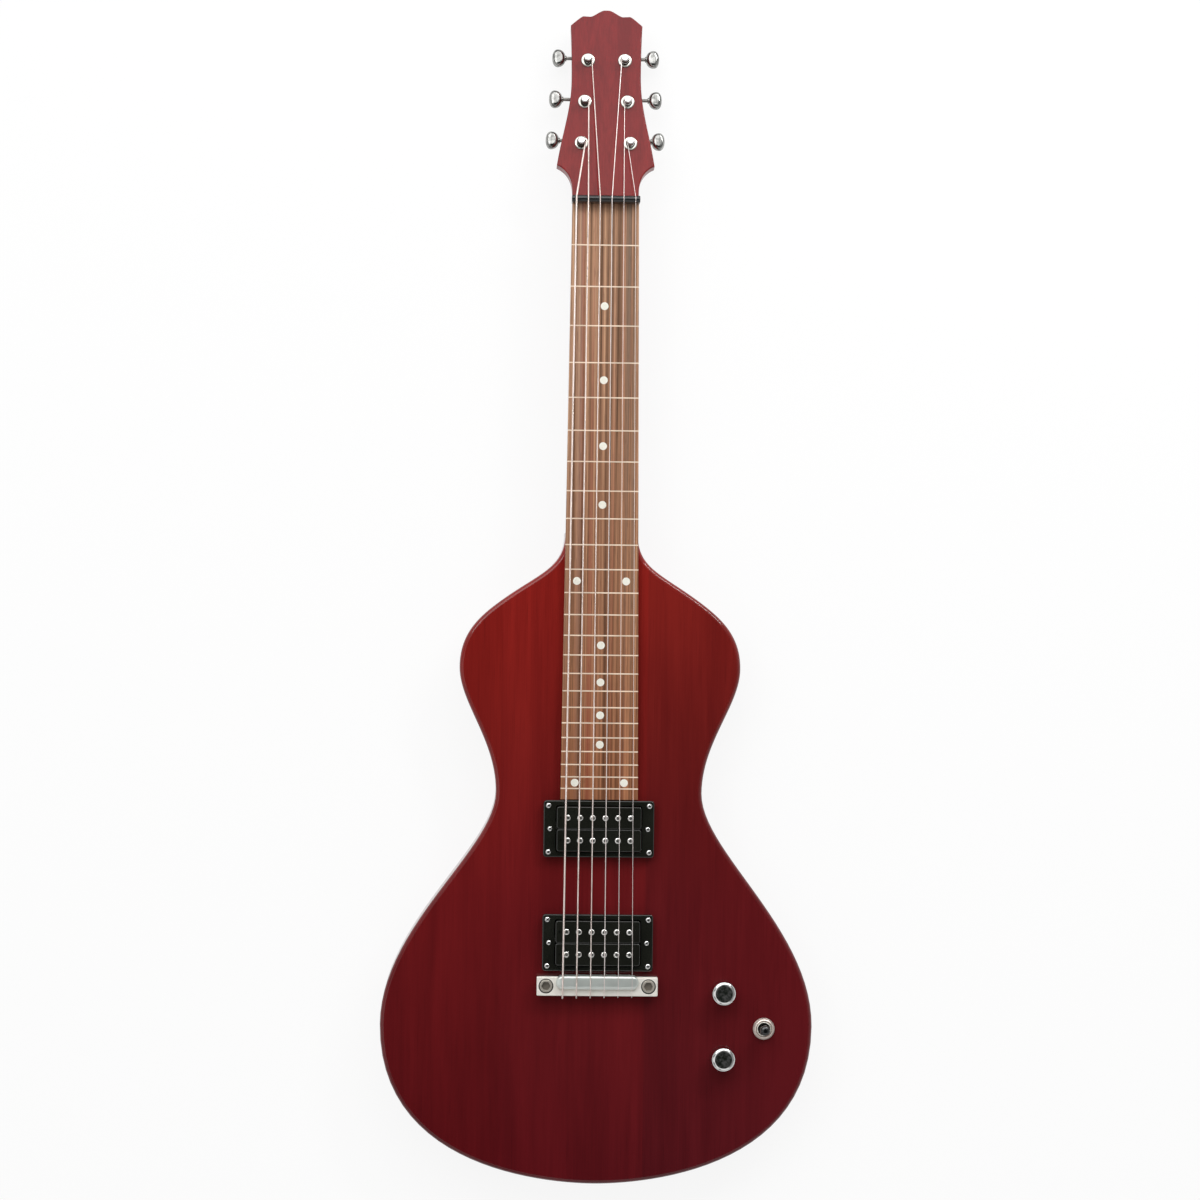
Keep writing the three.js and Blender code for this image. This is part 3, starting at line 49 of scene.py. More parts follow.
guitar = {
    "faceZ": 44.5,  # height of the body's face over its back
    "seatGap": 0.1,  # a seated piece stands this far off what carries it
    "boardTop": 50.5,
    "stringZ": 60.0,
    "saddleZ": 59.29,
    "scaleLength": 635.0,
    "nutPlace": 636.0,
    "headPivot": 639.1,
    "headTilt": 7.0,
    "stringDiameters": [1.42, 1.12, 0.86, 0.66, 0.46, 0.38],
    "woundStrings": 3,
    "spreadAtNut": 47.8,
    "spreadAtBridge": 56.2,
}
faceZ, seatGap = guitar["faceZ"], guitar["seatGap"]
beyond = 5.0  # a cutter stands this far out of what it cuts


def mix(start, end, share):
    return start + (end - start) * share


def shift(x, y, z=0.0, turn=0.0):
    return Matrix.Translation((x, y, z)) @ Matrix.Rotation(turn, 4, "Z")


facingDown = Matrix.Rotation(pi, 4, "X")
alongX = Matrix.Rotation(pi / 2, 4, "Y")  # lays a turned piece along X
towardTail = Matrix.Rotation(pi / 2, 4, "X")
headMatrix = shift(0, guitar["headPivot"], faceZ) @ Matrix.Rotation(-radians(guitar["headTilt"]), 4, "X")


def polar(radius, angle, centre=(0, 0)):
    return Vector((centre[0] + radius * cos(angle), centre[1] + radius * sin(angle)))


def turns(count):
    return [2 * pi * i / count for i in range(count)]


def bezier(stops, steps):
    line = []
    for i in range(1, steps + 1):
        points = [Vector(p) for p in stops]
        while len(points) > 1:
            points = [a.lerp(b, i / steps) for a, b in zip(points, points[1:])]
        line += points
    return line


def smoothLine(stops, steps):
    points = [Vector(p) for p in stops]
    padded = [2 * points[0] - points[1], *points, 2 * points[-1] - points[-2]]
    line = [points[0]]
    for a, b, c, d in zip(padded, padded[1:], padded[2:], padded[3:]):
        for i in range(1, steps + 1):
            t = i / steps
            line.append(0.5 * (2 * b + (c - a) * t + (2 * a - 5 * b + 4 * c - d) * t * t
                               + (3 * b - a - 3 * c + d) * t ** 3))
    return line


# Corners (x, y, cut) of a path, each rounded over the length that is cut from its sides
def eased(corners, steps=4):
    line = []
    for i, corner in enumerate(corners):
        here = Vector(corner[:2])
        cutBack = corner[2] if len(corner) > 2 else 0
        if cutBack == 0:
            line.append(here)
            continue
        around = [Vector(corners[k % len(corners)][:2]) for k in (i - 1, i + 1)]
        start, end = (here + (other - here).normalized() * cutBack for other in around)
        line += [start, *bezier([start, here, end], steps)]
    return line


def rectangle(width, length, corner=0, steps=6, centre=(0, 0)):
    x, y = width / 2, length / 2
    corners = [(x, -y, corner), (x, y, corner), (-x, y, corner), (-x, -y, corner)]
    return [p + Vector(centre) for p in eased(corners, steps)]


def circle(radius, sides=48, centre=(0, 0)):
    return [polar(radius, a, centre) for a in turns(sides)]


def addMesh(points, faces, matrix=None):
    mesh = bpy.data.meshes.new("part")
    place = matrix or Matrix.Identity(4)
    mesh.from_pydata([(place @ Vector(p)) * mm for p in points], [], faces)
    mesh.update()
    piece = bpy.data.objects.new("part", mesh)
    scene.collection.objects.link(piece)
    return piece


# Rings of equal count joined into a closed skin
def loft(rings, matrix=None):
    count = len(rings[0])
    points = [p for ring in rings for p in ring]
    last = len(points) - count
    pairs = [(i, (i + 1) % count) for i in range(count)]
    faces = [[row + i, row + j, row + count + j, row + count + i]
             for row in range(0, last, count) for i, j in pairs]
    faces += [list(reversed(range(count))), list(range(last, last + count))]
    return addMesh(points, faces, matrix)


# Draws a closed outline in, with no corner moved by more than twice the distance
def inset(outline, distance):
    moved = []
    for i, here in enumerate(outline):
        before = (here - outline[i - 1]).normalized()
        after = (outline[(i + 1) % len(outline)] - here).normalized()
        normal = Vector((before.y + after.y, -before.x - after.x)).normalized()
        lean = max(0.5, normal.dot(Vector((after.y, -after.x))))
        moved.append(here - normal * distance / lean)
    return moved


# A flat piece over an anticlockwise outline, with its edges rounded
def slab(outline, low, high, edge=0.0, steps=3, matrix=None, lowEdge=None):
    rings = []
    for size, height, side in ((edge if lowEdge is None else lowEdge, low, 1), (edge, high, -1)):
        band = []
        for k in range(steps + 1 if size else 1):
            angle = pi / 2 * k / steps
            z = height + side * size * (1 - cos(angle))
            band.append([(p.x, p.y, z) for p in inset(outline, size * (1 - sin(angle)))])
        rings += band[::side]
    return loft(rings, matrix)


# The cutter of a round hole
def drill(radius, low, high, centre=(0, 0), sides=40, matrix=None):
    return slab(circle(radius, sides, centre), low, high, matrix=matrix)


# Corners (radius, height, cut) turned about Z; they close on themselves where they start off the axis
def spun(profile, sides=48, matrix=None, steps=4):
    points, rows = [], []
    for radius, height in eased(profile, steps):
        count = 1 if radius < 1e-6 else sides
        rows.append([len(points) + i for i in range(count)])
        points += [(*polar(radius, a), height) for a in turns(sides)[:count]]
    pairs = list(zip(rows, rows[1:]))
    if len(rows[0]) > 1:
        pairs.append((rows[-1], rows[0]))
    faces = []
    for low, high in pairs:
        for i in range(sides):
            j = (i + 1) % sides
            around = [low[i % len(low)], low[j % len(low)], high[j % len(high)], high[i % len(high)]]
            faces.append(list(dict.fromkeys(around)))
    return addMesh(points, faces, matrix)


# A round wire along a line; its side vector is carried from ring to ring, so that it never twists
def tube(line, radius, sides=14, matrix=None):
    points = [Vector(p) for p in line]
    ahead = (points[1] - points[0]).normalized()
    side = ahead.orthogonal().normalized()
    rings = []
    for i, here in enumerate(points):
        into = (here - points[i - 1]).normalized() if i else ahead
        out = (points[i + 1] - here).normalized() if i + 1 < len(points) else into
        ahead = (into + out).normalized()
        side = (side - ahead * side.dot(ahead)).normalized()
        up = ahead.cross(side)
        rings.append([here + (side * cos(a) + up * sin(a)) * radius for a in turns(sides)])
    return loft(rings, matrix)


def rebuilt(piece):
    graph = bpy.context.evaluated_depsgraph_get()
    graph.update()
    made = bpy.data.meshes.new_from_object(piece.evaluated_get(graph), depsgraph=graph)
    old = piece.data
    piece.modifiers.clear()
    piece.data = made
    bpy.data.meshes.remove(old)
    return piece


def boolean(piece, others, operation):
    for other in others:
        step = piece.modifiers.new(operation.lower(), "BOOLEAN")
        step.operation, step.solver, step.object = operation, "EXACT", other
        if piece.data.materials:  # a dressed cutter leaves its own finish in the hole
            step.material_mode = "TRANSFER"
    rebuilt(piece)
    for other in others:
        bpy.data.objects.remove(other)
    return piece


def cut(piece, *cutters):
    return boolean(piece, cutters, "DIFFERENCE")


def fuse(piece, *others):
    return boolean(piece, others, "UNION")


def softened(piece, width, segments=2, angle=40):
    step = piece.modifiers.new("soft", "BEVEL")
    step.width, step.segments, step.angle_limit = width * mm, segments, radians(angle)
    step.use_clamp_overlap, step.harden_normals = True, False
    return rebuilt(piece)


def dress(finish, *pieces):
    for piece in pieces:
        piece.data.materials.append(finishes[finish])
    return pieces[0]


# Joins the parts into one piece, shades it, puts it on the body of its node and lets it stand for that node
def settle(name, node, piece, *others, stands=True, angle=32):
    if others:
        with bpy.context.temp_override(active_object=piece, selected_editable_objects=[piece, *others]):
            bpy.ops.object.join()
    piece.name = name
    piece.data.validate()
    piece.data.shade_smooth()
    piece.data.set_sharp_from_angle(angle=radians(angle))
    even = piece.modifiers.new("even", "WEIGHTED_NORMAL")
    even.keep_sharp, even.weight = True, 100
    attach(piece, bodyOf[node])
    if stands:
        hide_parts(node)


# A socket that can be added, subtracted and multiplied
class Wire:
    def __init__(self, finish, socket):
        self.finish, self.socket = finish, socket

    def calc(self, operation, first, second):
        return self.finish.node("Math", {0: first, 1: second}, operation=operation)

    def __add__(self, other):
        return self.calc("ADD", self, other)

    def __sub__(self, other):
        return self.calc("SUBTRACT", self, other)

    def __rsub__(self, other):
        return self.calc("SUBTRACT", other, self)

    def __mul__(self, other):
        return self.calc("MULTIPLY", self, other)

    __radd__ = __add__
    __rmul__ = __mul__


class Finish:
    def __init__(self, name, **constants):
        self.material = bpy.data.materials.new(name)
        self.material.use_nodes = True
        self.tree = self.material.node_tree
        self.shader = self.tree.nodes["Principled BSDF"]
        for key, value in constants.items():
            self.shader.inputs[key.replace("_", " ")].default_value = value
        self.place = self.node("TexCoord", out="Object")

    def node(self, kind, sockets=None, out=0, **settings):
        made = self.tree.nodes.new("ShaderNode" + kind)
        for key, value in settings.items():
            if key == "stops":
                ramp = made.color_ramp
                while len(ramp.elements) < len(value):
                    ramp.elements.new(1.0)
                for element, (position, colour) in zip(ramp.elements, value):
                    element.position, element.color = position, full(colour)
            else:
                setattr(made, key, value)
        for key, value in (sockets or {}).items():
            if isinstance(value, Wire):
                self.tree.links.new(value.socket, made.inputs[key])
            else:
                made.inputs[key].default_value = value
        return Wire(self, made.outputs[out])

    def feed(self, **wires):
        for key, wire in wires.items():
            self.tree.links.new(wire.socket, self.shader.inputs[key.replace("_", " ")])
        return self.material

    def axis(self, letter):
        return self.node("SeparateXYZ", {"Vector": self.place}, letter)

    # The scale is one number, or one for each axis where the pattern is drawn out
    def noise(self, scale, detail=4.0, roughness=0.55, distortion=0.0):
        scales = scale if isinstance(scale, tuple) else (scale,) * 3
        place = self.node("Mapping", {"Vector": self.place, "Scale": scales})
        sockets = {"Vector": place, "Scale": 1.0, "Detail": detail, "Roughness": roughness,
                   "Distortion": distortion}
        return self.node("TexNoise", sockets, "Fac")

    def ramp(self, wire, *stops):
        return self.node("ValToRGB", {"Fac": wire}, "Color", stops=stops)

    # A value ramp between two levels
    def span(self, wire, low, high, start=0.0, end=1.0):
        sockets = {"Value": wire, "From Min": low, "From Max": high, "To Min": start, "To Max": end}
        return self.node("MapRange", sockets, "Result", clamp=True)

    def blend(self, share, first, second, kind="MIX"):
        sockets = {"Factor": share, 6: first, 7: second}  # 6 and 7 are its two colours
        return self.node("Mix", sockets, 2, data_type="RGBA", blend_type=kind)

    def bump(self, height, strength, distance):
        return self.node("Bump", {"Height": height, "Strength": strength, "Distance": distance}, "Normal")


class Sky(Finish):
    def __init__(self, world):
        self.tree = world.node_tree
        self.place = self.node("TexCoord", out="Generated")


# Linear red, green and blue of a hex code
def tone(code):
    parts = [int(code[i:i + 2], 16) / 255 for i in (0, 2, 4)]
    return tuple(p / 12.92 if p <= 0.04045 else ((p + 0.055) / 1.055) ** 2.4 for p in parts)


# With the fourth value that sockets ask for; takes a hex code or linear values
def full(colour):
    return (*(tone(colour) if isinstance(colour, str) else colour), 1.0)


# Cherry lacquer over plain-sawn wood; its red darkens along the guitar's length toward the tail, which is
# painted light falling from the head end
def cherryWood(name, ends, redAndLightStops, contrast, coat, boards=False):
    wood = Finish(name, Coat_Weight=coat, Coat_Roughness=0.07, IOR=1.42, Specular_IOR_Level=0.06)
    # the lengthwise ramp holds the lacquer's red with painted light: lighter toward the head, where the lamps
    # fall, and darker toward the tail
    redWithPaintedLight = wood.ramp(wood.span(wood.axis("Y"), *ends), *redAndLightStops)
    grain = wood.noise((58, 3.4, 58), 5, 0.62, 0.9)
    broad = wood.noise((9, 2.4, 9), 3, 0.55, 0.5)
    fine = wood.noise((900, 12, 900), 3, 0.65)
    level = grain * 0.34 + broad * 0.46 + fine * 0.2
    shade = wood.ramp(level, (0.5 - contrast, (0.8, 0.77, 0.81)), (0.5, (0.97, 0.98, 0.98)),
                      (0.5 + contrast, (1.16, 1.24, 1.19)))
    colour = wood.blend(1.0, redWithPaintedLight, shade, "MULTIPLY")
    if boards:  # the glued boards of the blank differ a little, and the left side is redder and brighter as painted light from the left
        across = wood.axis("X")
        # redder and brighter toward the left: painted light falling from the left side
        paintedLightLeft = wood.span(across, 0.06, -0.15)
        left = wood.span(across, -0.0796, -0.0788)
        right = wood.span(across, 0.0382, 0.0390)
        for share, tint in ((paintedLightLeft * 0.5, (1.18, 0.92, 0.86)), (1 - left, (0.95, 0.92, 0.9)),
                            (right, (0.84, 0.95, 0.98))):
            colour = wood.blend(share, colour, full(tint), "MULTIPLY")
    pores = wood.span(wood.noise((1500, 26, 1500), 2, 0.5), 0.6, 0.72)
    colour = wood.blend(pores * 0.35, colour, (0.5, 0.45, 0.5, 1), "MULTIPLY")
    return wood.feed(Base_Color=colour, Roughness=wood.span(fine, 0.3, 0.7, 0.36, 0.48),
                     Normal=wood.bump(fine * 0.7 + (1 - pores) * 0.3, 0.05, 0.0002))


def rosewood(name):
    wood = Finish(name, Coat_Weight=0.04, IOR=1.4, Specular_IOR_Level=0.35)
    streak = wood.noise((260, 1.1, 120), 4, 0.62, 0.25)
    narrow = wood.noise((900, 2.6, 400), 3, 0.6)
    colour = wood.ramp(streak * 0.5 + narrow * 0.5, (0.36, "543c2e"), (0.44, "7d5d49"), (0.5, "9a755d"),
                       (0.57, "b38c72"), (0.66, "caa688"))
    reddish = wood.span(wood.noise((150, 0.7, 80), 2, 0.5), 0.5, 0.66)
    colour = wood.blend(reddish * 0.5, colour, full("9a5348"))
    greyish = wood.span(wood.noise((190, 0.9, 60), 2, 0.5), 0.56, 0.7)
    colour = wood.blend(greyish * 0.45, colour, full("80746a"))
    # lighter toward the head and darker, warmer toward the body: painted light from the head end over the
    # wood's own colour
    towardBody = wood.span(wood.axis("Y"), 0.56, 0.16)
    lengthwise = wood.blend(towardBody, (1.2, 1.19, 1.13, 1), (0.88, 0.63, 0.46, 1))
    colour = wood.blend(1.0, colour, lengthwise, "MULTIPLY")
    pores = wood.span(wood.noise((2600, 60, 2600), 2, 0.5), 0.6, 0.7)
    colour = wood.blend(pores * 0.5, colour, full("3d2a20"))
    return wood.feed(Base_Color=colour, Roughness=wood.span(narrow, 0.3, 0.7, 0.42, 0.6),
                     Normal=wood.bump(1 - pores, 0.18, 0.0002))


def metal(name, colour, roughness, smudge=0.06, grain=(2400, 300, 2400), metallic=1.0, dulled=0.94,
          clouds=60, scratches=0.03):
    plate = Finish(name, Metallic=metallic)
    cloud = plate.noise(clouds, 4, 0.6)
    scratch = plate.noise(grain, 2, 0.5)
    tint = plate.ramp(cloud, (0.36, [c * dulled for c in tone(colour)]), (0.64, colour))
    return plate.feed(Base_Color=tint, Roughness=plate.span(cloud, 0.3, 0.7, roughness, roughness + smudge),
                      Normal=plate.bump(scratch, scratches, 0.00005))


def plastic(name, colour, roughness, grain=1400, relief=0.05, coat=0.0, shine=0.5):
    shell = Finish(name, Specular_IOR_Level=shine, Coat_Weight=coat, Coat_Roughness=0.05)
    cloud = shell.noise(40, 3, 0.6)
    dark, light = ([min(1, c * share) for c in tone(colour)] for share in (0.8, 1.2))
    tint = shell.ramp(cloud, (0.3, dark), (0.7, light))
    return shell.feed(Base_Color=tint, Roughness=shell.span(cloud, 0.3, 0.7, roughness, roughness + 0.1),
                      Normal=shell.bump(shell.noise(grain, 2, 0.5), relief, 0.0001))


def pearl(name):
    shell = Finish(name, IOR=1.55, Coat_Weight=0.5, Coat_Roughness=0.05)
    swirl = shell.noise(420, 4, 0.6, 1.8)
    colour = shell.ramp(swirl, (0.3, "efe4d0"), (0.45, "fcf9ef"), (0.58, "f1f3e4"), (0.7, "fbeee4"))
    return shell.feed(Base_Color=colour, Roughness=shell.span(swirl, 0.3, 0.7, 0.16, 0.3))


def woundWire(name, pitch):
    wire = Finish(name, Metallic=0.7)
    windings = wire.node("Math", {0: wire.axis("Y") * (2 * pi / (pitch * mm))}, operation="SINE")
    cloud = wire.noise((300, 40, 300), 3, 0.6)
    colour = wire.ramp(cloud, (0.3, "e4d3ca"), (0.7, "fff1eb"))
    return wire.feed(Base_Color=colour, Roughness=wire.span(cloud, 0.3, 0.7, 0.26, 0.36),
                     Normal=wire.bump(windings, 0.35, 0.00008))


brushed = (500, 3000, 500)  # noise scales along X, Y and Z
finishes = {
    # the body's red is darker at the tail and lighter toward the neck: painted light from the head end
    "body": cherryWood("cherry_gloss_body", (-0.16, 0.35), [
        (0, "5a1017"), (0.45, "681519"), (0.7, "731a18"), (1, "821c17")], 0.09, 0.8, boards=True),
    "neck": cherryWood("cherry_gloss_neck", (0.3, 0.8), [
        (0, "761918"), (0.6, "791c1b"), (1, "7a1c1f")], 0.055, 0.5),
    "board": rosewood("streaked_rosewood"),
    "line": plastic("cream_inlay", "ecd6bf", 0.4, 900, 0.03),
    "pearl": pearl("pearl_dots"),
    "nut": plastic("black_nut_gloss", "121212", 0.22, 1200, 0.02, coat=0.4),
    "pickup": plastic("black_pickup_gloss", "181914", 0.16, 1600, 0.03, coat=0.75, shine=0.32),
    # black finish for the insides of seats and bores: painted shade where light does not reach
    "pit": plastic("painted_shade_recess", "050505", 0.6),
    "chrome": metal("polished_chrome", "dededd", 0.05),
    "satin": metal("satin_bridge_plating", "fbf7ee", 0.44, 0.08, brushed, metallic=0.3),
    "saddle": metal("polished_saddle_plating", "e2e8e3", 0.44, 0.06, brushed),
    "stud": metal("stud_plating", "d3ccc0", 0.34, 0.1, metallic=0.7, dulled=0.9),
    # darker than the stud: painted shade inside the hex socket
    "socket": metal("hex_socket_painted_shade", "8f887d", 0.5, 0.08, metallic=0.5, dulled=0.85),
    # greyer chrome with strong dark patches: painted reflections of a varied room on the buttons
    "button": metal("button_chrome_painted_reflections", "b6b6b3", 0.12, 0.1, dulled=0.36, clouds=260),
    "stem": metal("button_stem_chrome", "8d8a86", 0.2),
    "collar": metal("post_collar_chrome", "cfcec6", 0.07),
    # dark so that the windings read as the shaded crescent below the post's top: painted shade
    "winding": metal("string_winding_on_post", "57524b", 0.3, 0.1),
    "knurl": metal("knurled_ring_plating", "e4d8d0", 0.34, 0.1, metallic=0.85),
    "pole": metal("polished_pole_steel", "f0eeea", 0.16),
    "nickel": metal("nickel_plate", "d2cdc2", 0.16, 0.1),
    "steel": metal("plain_string_steel", "fdf2ee", 0.36, metallic=0.6, scratches=0.01),
    "can": metal("plated_can", "a9a69e", 0.32, 0.12),
    "magnet": plastic("grey_magnet", "4a4845", 0.55, 700, 0.15),
    "tip": plastic("black_lever_tip", "0b0b0c", 0.12, 900, 0.02, coat=0.7),
    "cover": plastic("black_cover_matte", "101011", 0.48, 2200, 0.14),
}
for index, pitch in enumerate((0.36, 0.3, 0.24)):
    finishes[f"wound{index}"] = woundWire(f"wound_string_{index + 1}", pitch)
print("finishes made:", len(finishes))


screws = {  # radius, height, the share of the height that is domed, drive and finish
    "post": (2.2, 1.2, 0.5, "slot", "steel"),
    "plate": (2.2, 1.1, 0.7, "cross", "chrome"),
    "surround": (2.2, 1.3, 0.8, "cross", "chrome"),
    "pickupHeight": (2.0, 1.2, 0.8, "cross", "chrome"),
    "pole": (2.4, 0.95, 0.75, "slot", "pole"),
    "cover": (2.45, 0.8, 0.3, "cross", "steel"),
}


# A screw's head with its slot or cross, made at the origin so that the cut is the same everywhere
def screwHead(use, matrix):
    radius, height, domed, drive, finish = screws[use]
    rise = height * domed
    profile = [(0, -0.6), (radius * 0.96, -0.6), (radius, 0), (radius, height - rise)]
    profile += [(radius * cos(a), height - rise + rise * sin(a)) for a in (pi * k / 12 for k in range(1, 7))]
    head = spun(profile, 28)
    width, length = radius * 0.26, 2 * radius * (1.3 if drive == "slot" else 0.62)
    arms = [(length, width)] if drive == "slot" else [(length, width), (width, length)]
    cut(head, *[slab(rectangle(*size), height * 0.25, height + 1) for size in arms])
    toMetres = Matrix.Diagonal((mm, mm, mm, 1))
    for step in (toMetres.inverted(), matrix, toMetres):
        head.data.transform(step)
    return dress(finish, head)


body = {
    "tail": -163.0, "lower": (175.8, -34.2), "waist": (83.8, 155.0), "upper": (114.3, 256.5),
    "shoulder": (80.9, 310.6), "shoulderAngle": 53.7, "end": 366.0, "edge": 3.8,
    # how far the two Bezier handles of each stretch of the outline reach along it, from the tail on
    "shares": [(0.203, 0.927), (0.42, 0.248), (0.414, 0.292), (0.482, 0.442), (0.7, 0.515)], "steps": 26,
    "spare": 9.0, "spareCut": (90.0, 30.0),  # cut off again, so that the blank ends sharply at the neck
    "mortise": (44.6, 169.0, 81.5),  # width, length, and how far its middle lies from the body's end
    "mortiseFloor": 20.2, "wells": ((71.8, 39.5), (87.2, 18.0)), "wellFloor": 20.5,
    "studs": (41.5, -1.0), "studHole": 4.8, "studFloor": 26.0, "jackBore": 130.0,
}
# the body's wells and holes follow from these pieces
board = {"start": 149.9, "end": 632.9, "wide": 63.0, "narrow": 54.0, "frets": 24, "lineWidth": 1.0,
         "dot": 6.35, "pairSpacing": 40.0, "singleDots": (3, 5, 7, 9)}
control = {"line": 102.7, "volume": -5.8, "tone": -59.2, "selector": (136.2, -35.5), "holes": (5, 5, 6.1),
           "holeStart": 30.0, "ceiling": 38.5, "margin": 20.0, "coverMargin": 7.0, "coverThickness": 2.0,
           "coverSeat": 2.2}
pickup = {"places": {"neck_pickup": 126.1, "bridge_pickup": 33.8}, "ring": (89.8, 46.0), "ringHeight": 7.0,
          "bobbin": (68.6, 18.0), "bobbinTop": 11.0, "bobbinHeight": 11.2, "row": 18.3, "pitch": 10.2,
          "screwSpread": 79.2, "cornerScrews": (81.7, 37.6), "keeper": (64.0, 5.4, 3.2), "keeperGap": 0.3,
          "tray": (66.0, 33.7), "trayWall": (1.0, 10.0, 32.5), "trayFoot": (10.2, 10.0, 37.2), "corner": 2.5}
stations = [(control["line"], control["volume"]), (control["line"], control["tone"]), control["selector"]]
jack = {"height": 22.25, "barrel": 6.25, "bore": 3.3, "recess": 22.0, "recessDepth": 5.0, "clearance": 0.3,
        "length": 26.0, "plugDepth": 23.6, "collar": 3.6, "washer": (6.3, 9.5), "nut": (8.95, 1.0, 3.5)}
rimMatrix = shift(0, body["lower"][1], jack["height"]) @ alongX  # out of the rim at the widest place


def boardHalf(y):
    share = (y - board["start"]) / (board["end"] - board["start"])
    return mix(board["wide"], board["narrow"], share) / 2


def bodyOutline():
    knots = [Vector(body[key]) for key in ("lower", "waist", "upper", "shoulder")]
    knots = [Vector((0, body["tail"])), *knots, Vector((boardHalf(body["end"]), body["end"]))]
    lean, up = radians(body["shoulderAngle"]), Vector((0, 1))
    slopes = [Vector((1, 0)), up, up, up, Vector((-sin(lean), cos(lean))), up]
    right = knots[:1]
    for i, (first, second) in enumerate(body["shares"]):
        start, end = knots[i:i + 2]
        rise = end.y - start.y
        ahead = slopes[i] * first * (rise if i else end.x)  # the tail runs across
        right += bezier([start, start + ahead, end - slopes[i + 1] * second * rise, end], body["steps"])
    right.append(right[-1] + Vector((0, body["spare"])))
    return right + [Vector((-p.x, p.y)) for p in reversed(right[1:])]


def middleOf(places):
    return sum((Vector(p) for p in places), Vector((0, 0))) / len(places)


# Outline at a distance round a few places, as a tight belt of that radius would lie
def bandRound(places, radius, steps=16):
    middle = middleOf(places)
    ordered = sorted(places, key=lambda p: atan2(p[1] - middle.y, p[0] - middle.x))
    line = []
    for i, (x, y) in enumerate(ordered):
        before, after = ordered[i - 1], ordered[(i + 1) % len(ordered)]
        start = atan2(y - before[1], x - before[0]) - pi / 2
        end = atan2(after[1] - y, after[0] - x) - pi / 2
        while end < start:
            end += 2 * pi
        line += [polar(radius, mix(start, end, k / steps), (x, y)) for k in range(steps + 1)]
    return line


def makeBody():
    end, top, floor = body["end"], faceZ + beyond, body["wellFloor"]
    blank = slab(bodyOutline(), 0, faceZ, body["edge"], 6)
    (wide, past), (width, length, back) = body["spareCut"], body["mortise"]
    wells = [slab(rectangle(wide, past, centre=(0, end + past / 2)), -beyond, top),
             slab(rectangle(width, length, centre=(0, end - back)), body["mortiseFloor"], top)]
    for place in pickup["places"].values():
        for width, length in body["wells"]:
            wells.append(slab(rectangle(width, length, pickup["corner"], centre=(0, place)), floor, top))
    margin = control["margin"]
    wells.append(slab(bandRound(stations, margin), -beyond, control["ceiling"]))
    wells.append(slab(bandRound(stations, margin + control["coverMargin"]), -beyond, control["coverSeat"]))
    for spot, radius in zip(stations, control["holes"]):
        wells.append(drill(radius, control["holeStart"], top, spot))
    x, y = body["studs"]
    wells += [drill(body["studHole"], body["studFloor"], top, (side * x, y)) for side in (-1, 1)]
    rim = body["lower"][0]
    for radius, start, sides in ((jack["barrel"] + jack["clearance"], body["jackBore"], 48),
                                 (jack["recess"] / 2, rim - jack["recessDepth"], 64)):
        wells.append(drill(radius, start, rim + beyond, sides=sides, matrix=rimMatrix))
    settle("body_wood", "body", dress("body", cut(blank, *wells)), angle=40)


makeBody()
print("body made")

neck = {"depthAtNut": 22.0, "depthAtBody": 26.0, "heelDepth": 38.0, "heelLength": 42.0, "squareness": 2.6,
        "tenon": (44.0, 166.0, 24.0), "volute": 26.0, "headThickness": 14.0, "edge": 1.0, "postHole": 4.6}
head = {"base": (27.0, 3.4), "ear": (39.8, 26.1), "waist": (28.2, 101.0), "corner": (29.3, 143.2),
        "bump": (19.0, 151.1), "notch": (13.5, 150.8), "crown": (1.5, 156.2)}


def headOutline():
    base, ear, waist, corner, bump, notch, crown = head.values()
    rise, lean = waist[1] - ear[1], (ear[0] - waist[0]) * 0.4
    right = [Vector((base[0], -1)), Vector(base)]
    right += bezier([base, (base[0], mix(base[1], ear[1], 0.75)), ear], 14)
    right += bezier([ear, (ear[0] - lean, ear[1] + 0.4 * rise),
                     (waist[0], waist[1] - 0.38 * rise), waist], 20)
    right += bezier([waist, (waist[0], mix(waist[1], corner[1], 0.5)), corner], 10)
    right += bezier([corner, (mix(corner[0], bump[0], 0.85), bump[1]), bump], 10)
    right += bezier([bump, notch], 2)
    right += bezier([notch, (mix(notch[0], crown[0], 0.25), notch[1]),
                     (mix(crown[0], notch[0], 0.3), crown[1]), crown], 14)
    return right + [Vector((-p.x, p.y)) for p in reversed(right)]


def neckRing(y):
    pivot = guitar["headPivot"]
    past = max(0, y - pivot) / neck["volute"]
    toward = max(0, (pivot - y) / (pivot - body["end"]))
    ease = max(0, 1 - (y - body["end"]) / neck["heelLength"]) ** 2
    depth = mix(mix(neck["depthAtNut"], neck["depthAtBody"], toward), neck["heelDepth"], ease)
    depth = mix(depth, neck["headThickness"] - neck["edge"], past * past * (3 - 2 * past))
    sunk = neck["edge"] / 2 if past > 0 else 0
    top = faceZ - max(0, y - pivot) * tan(radians(guitar["headTilt"])) - sunk
    half = boardHalf(min(y, board["end"]))
    power = 2 / neck["squareness"]
    ring = []
    for i in range(33):
        angle = pi * i / 32
        reach = copysign(abs(cos(angle)) ** power, cos(angle))
        ring.append((half * reach, y, top - depth * abs(sin(angle)) ** power))
    return ring


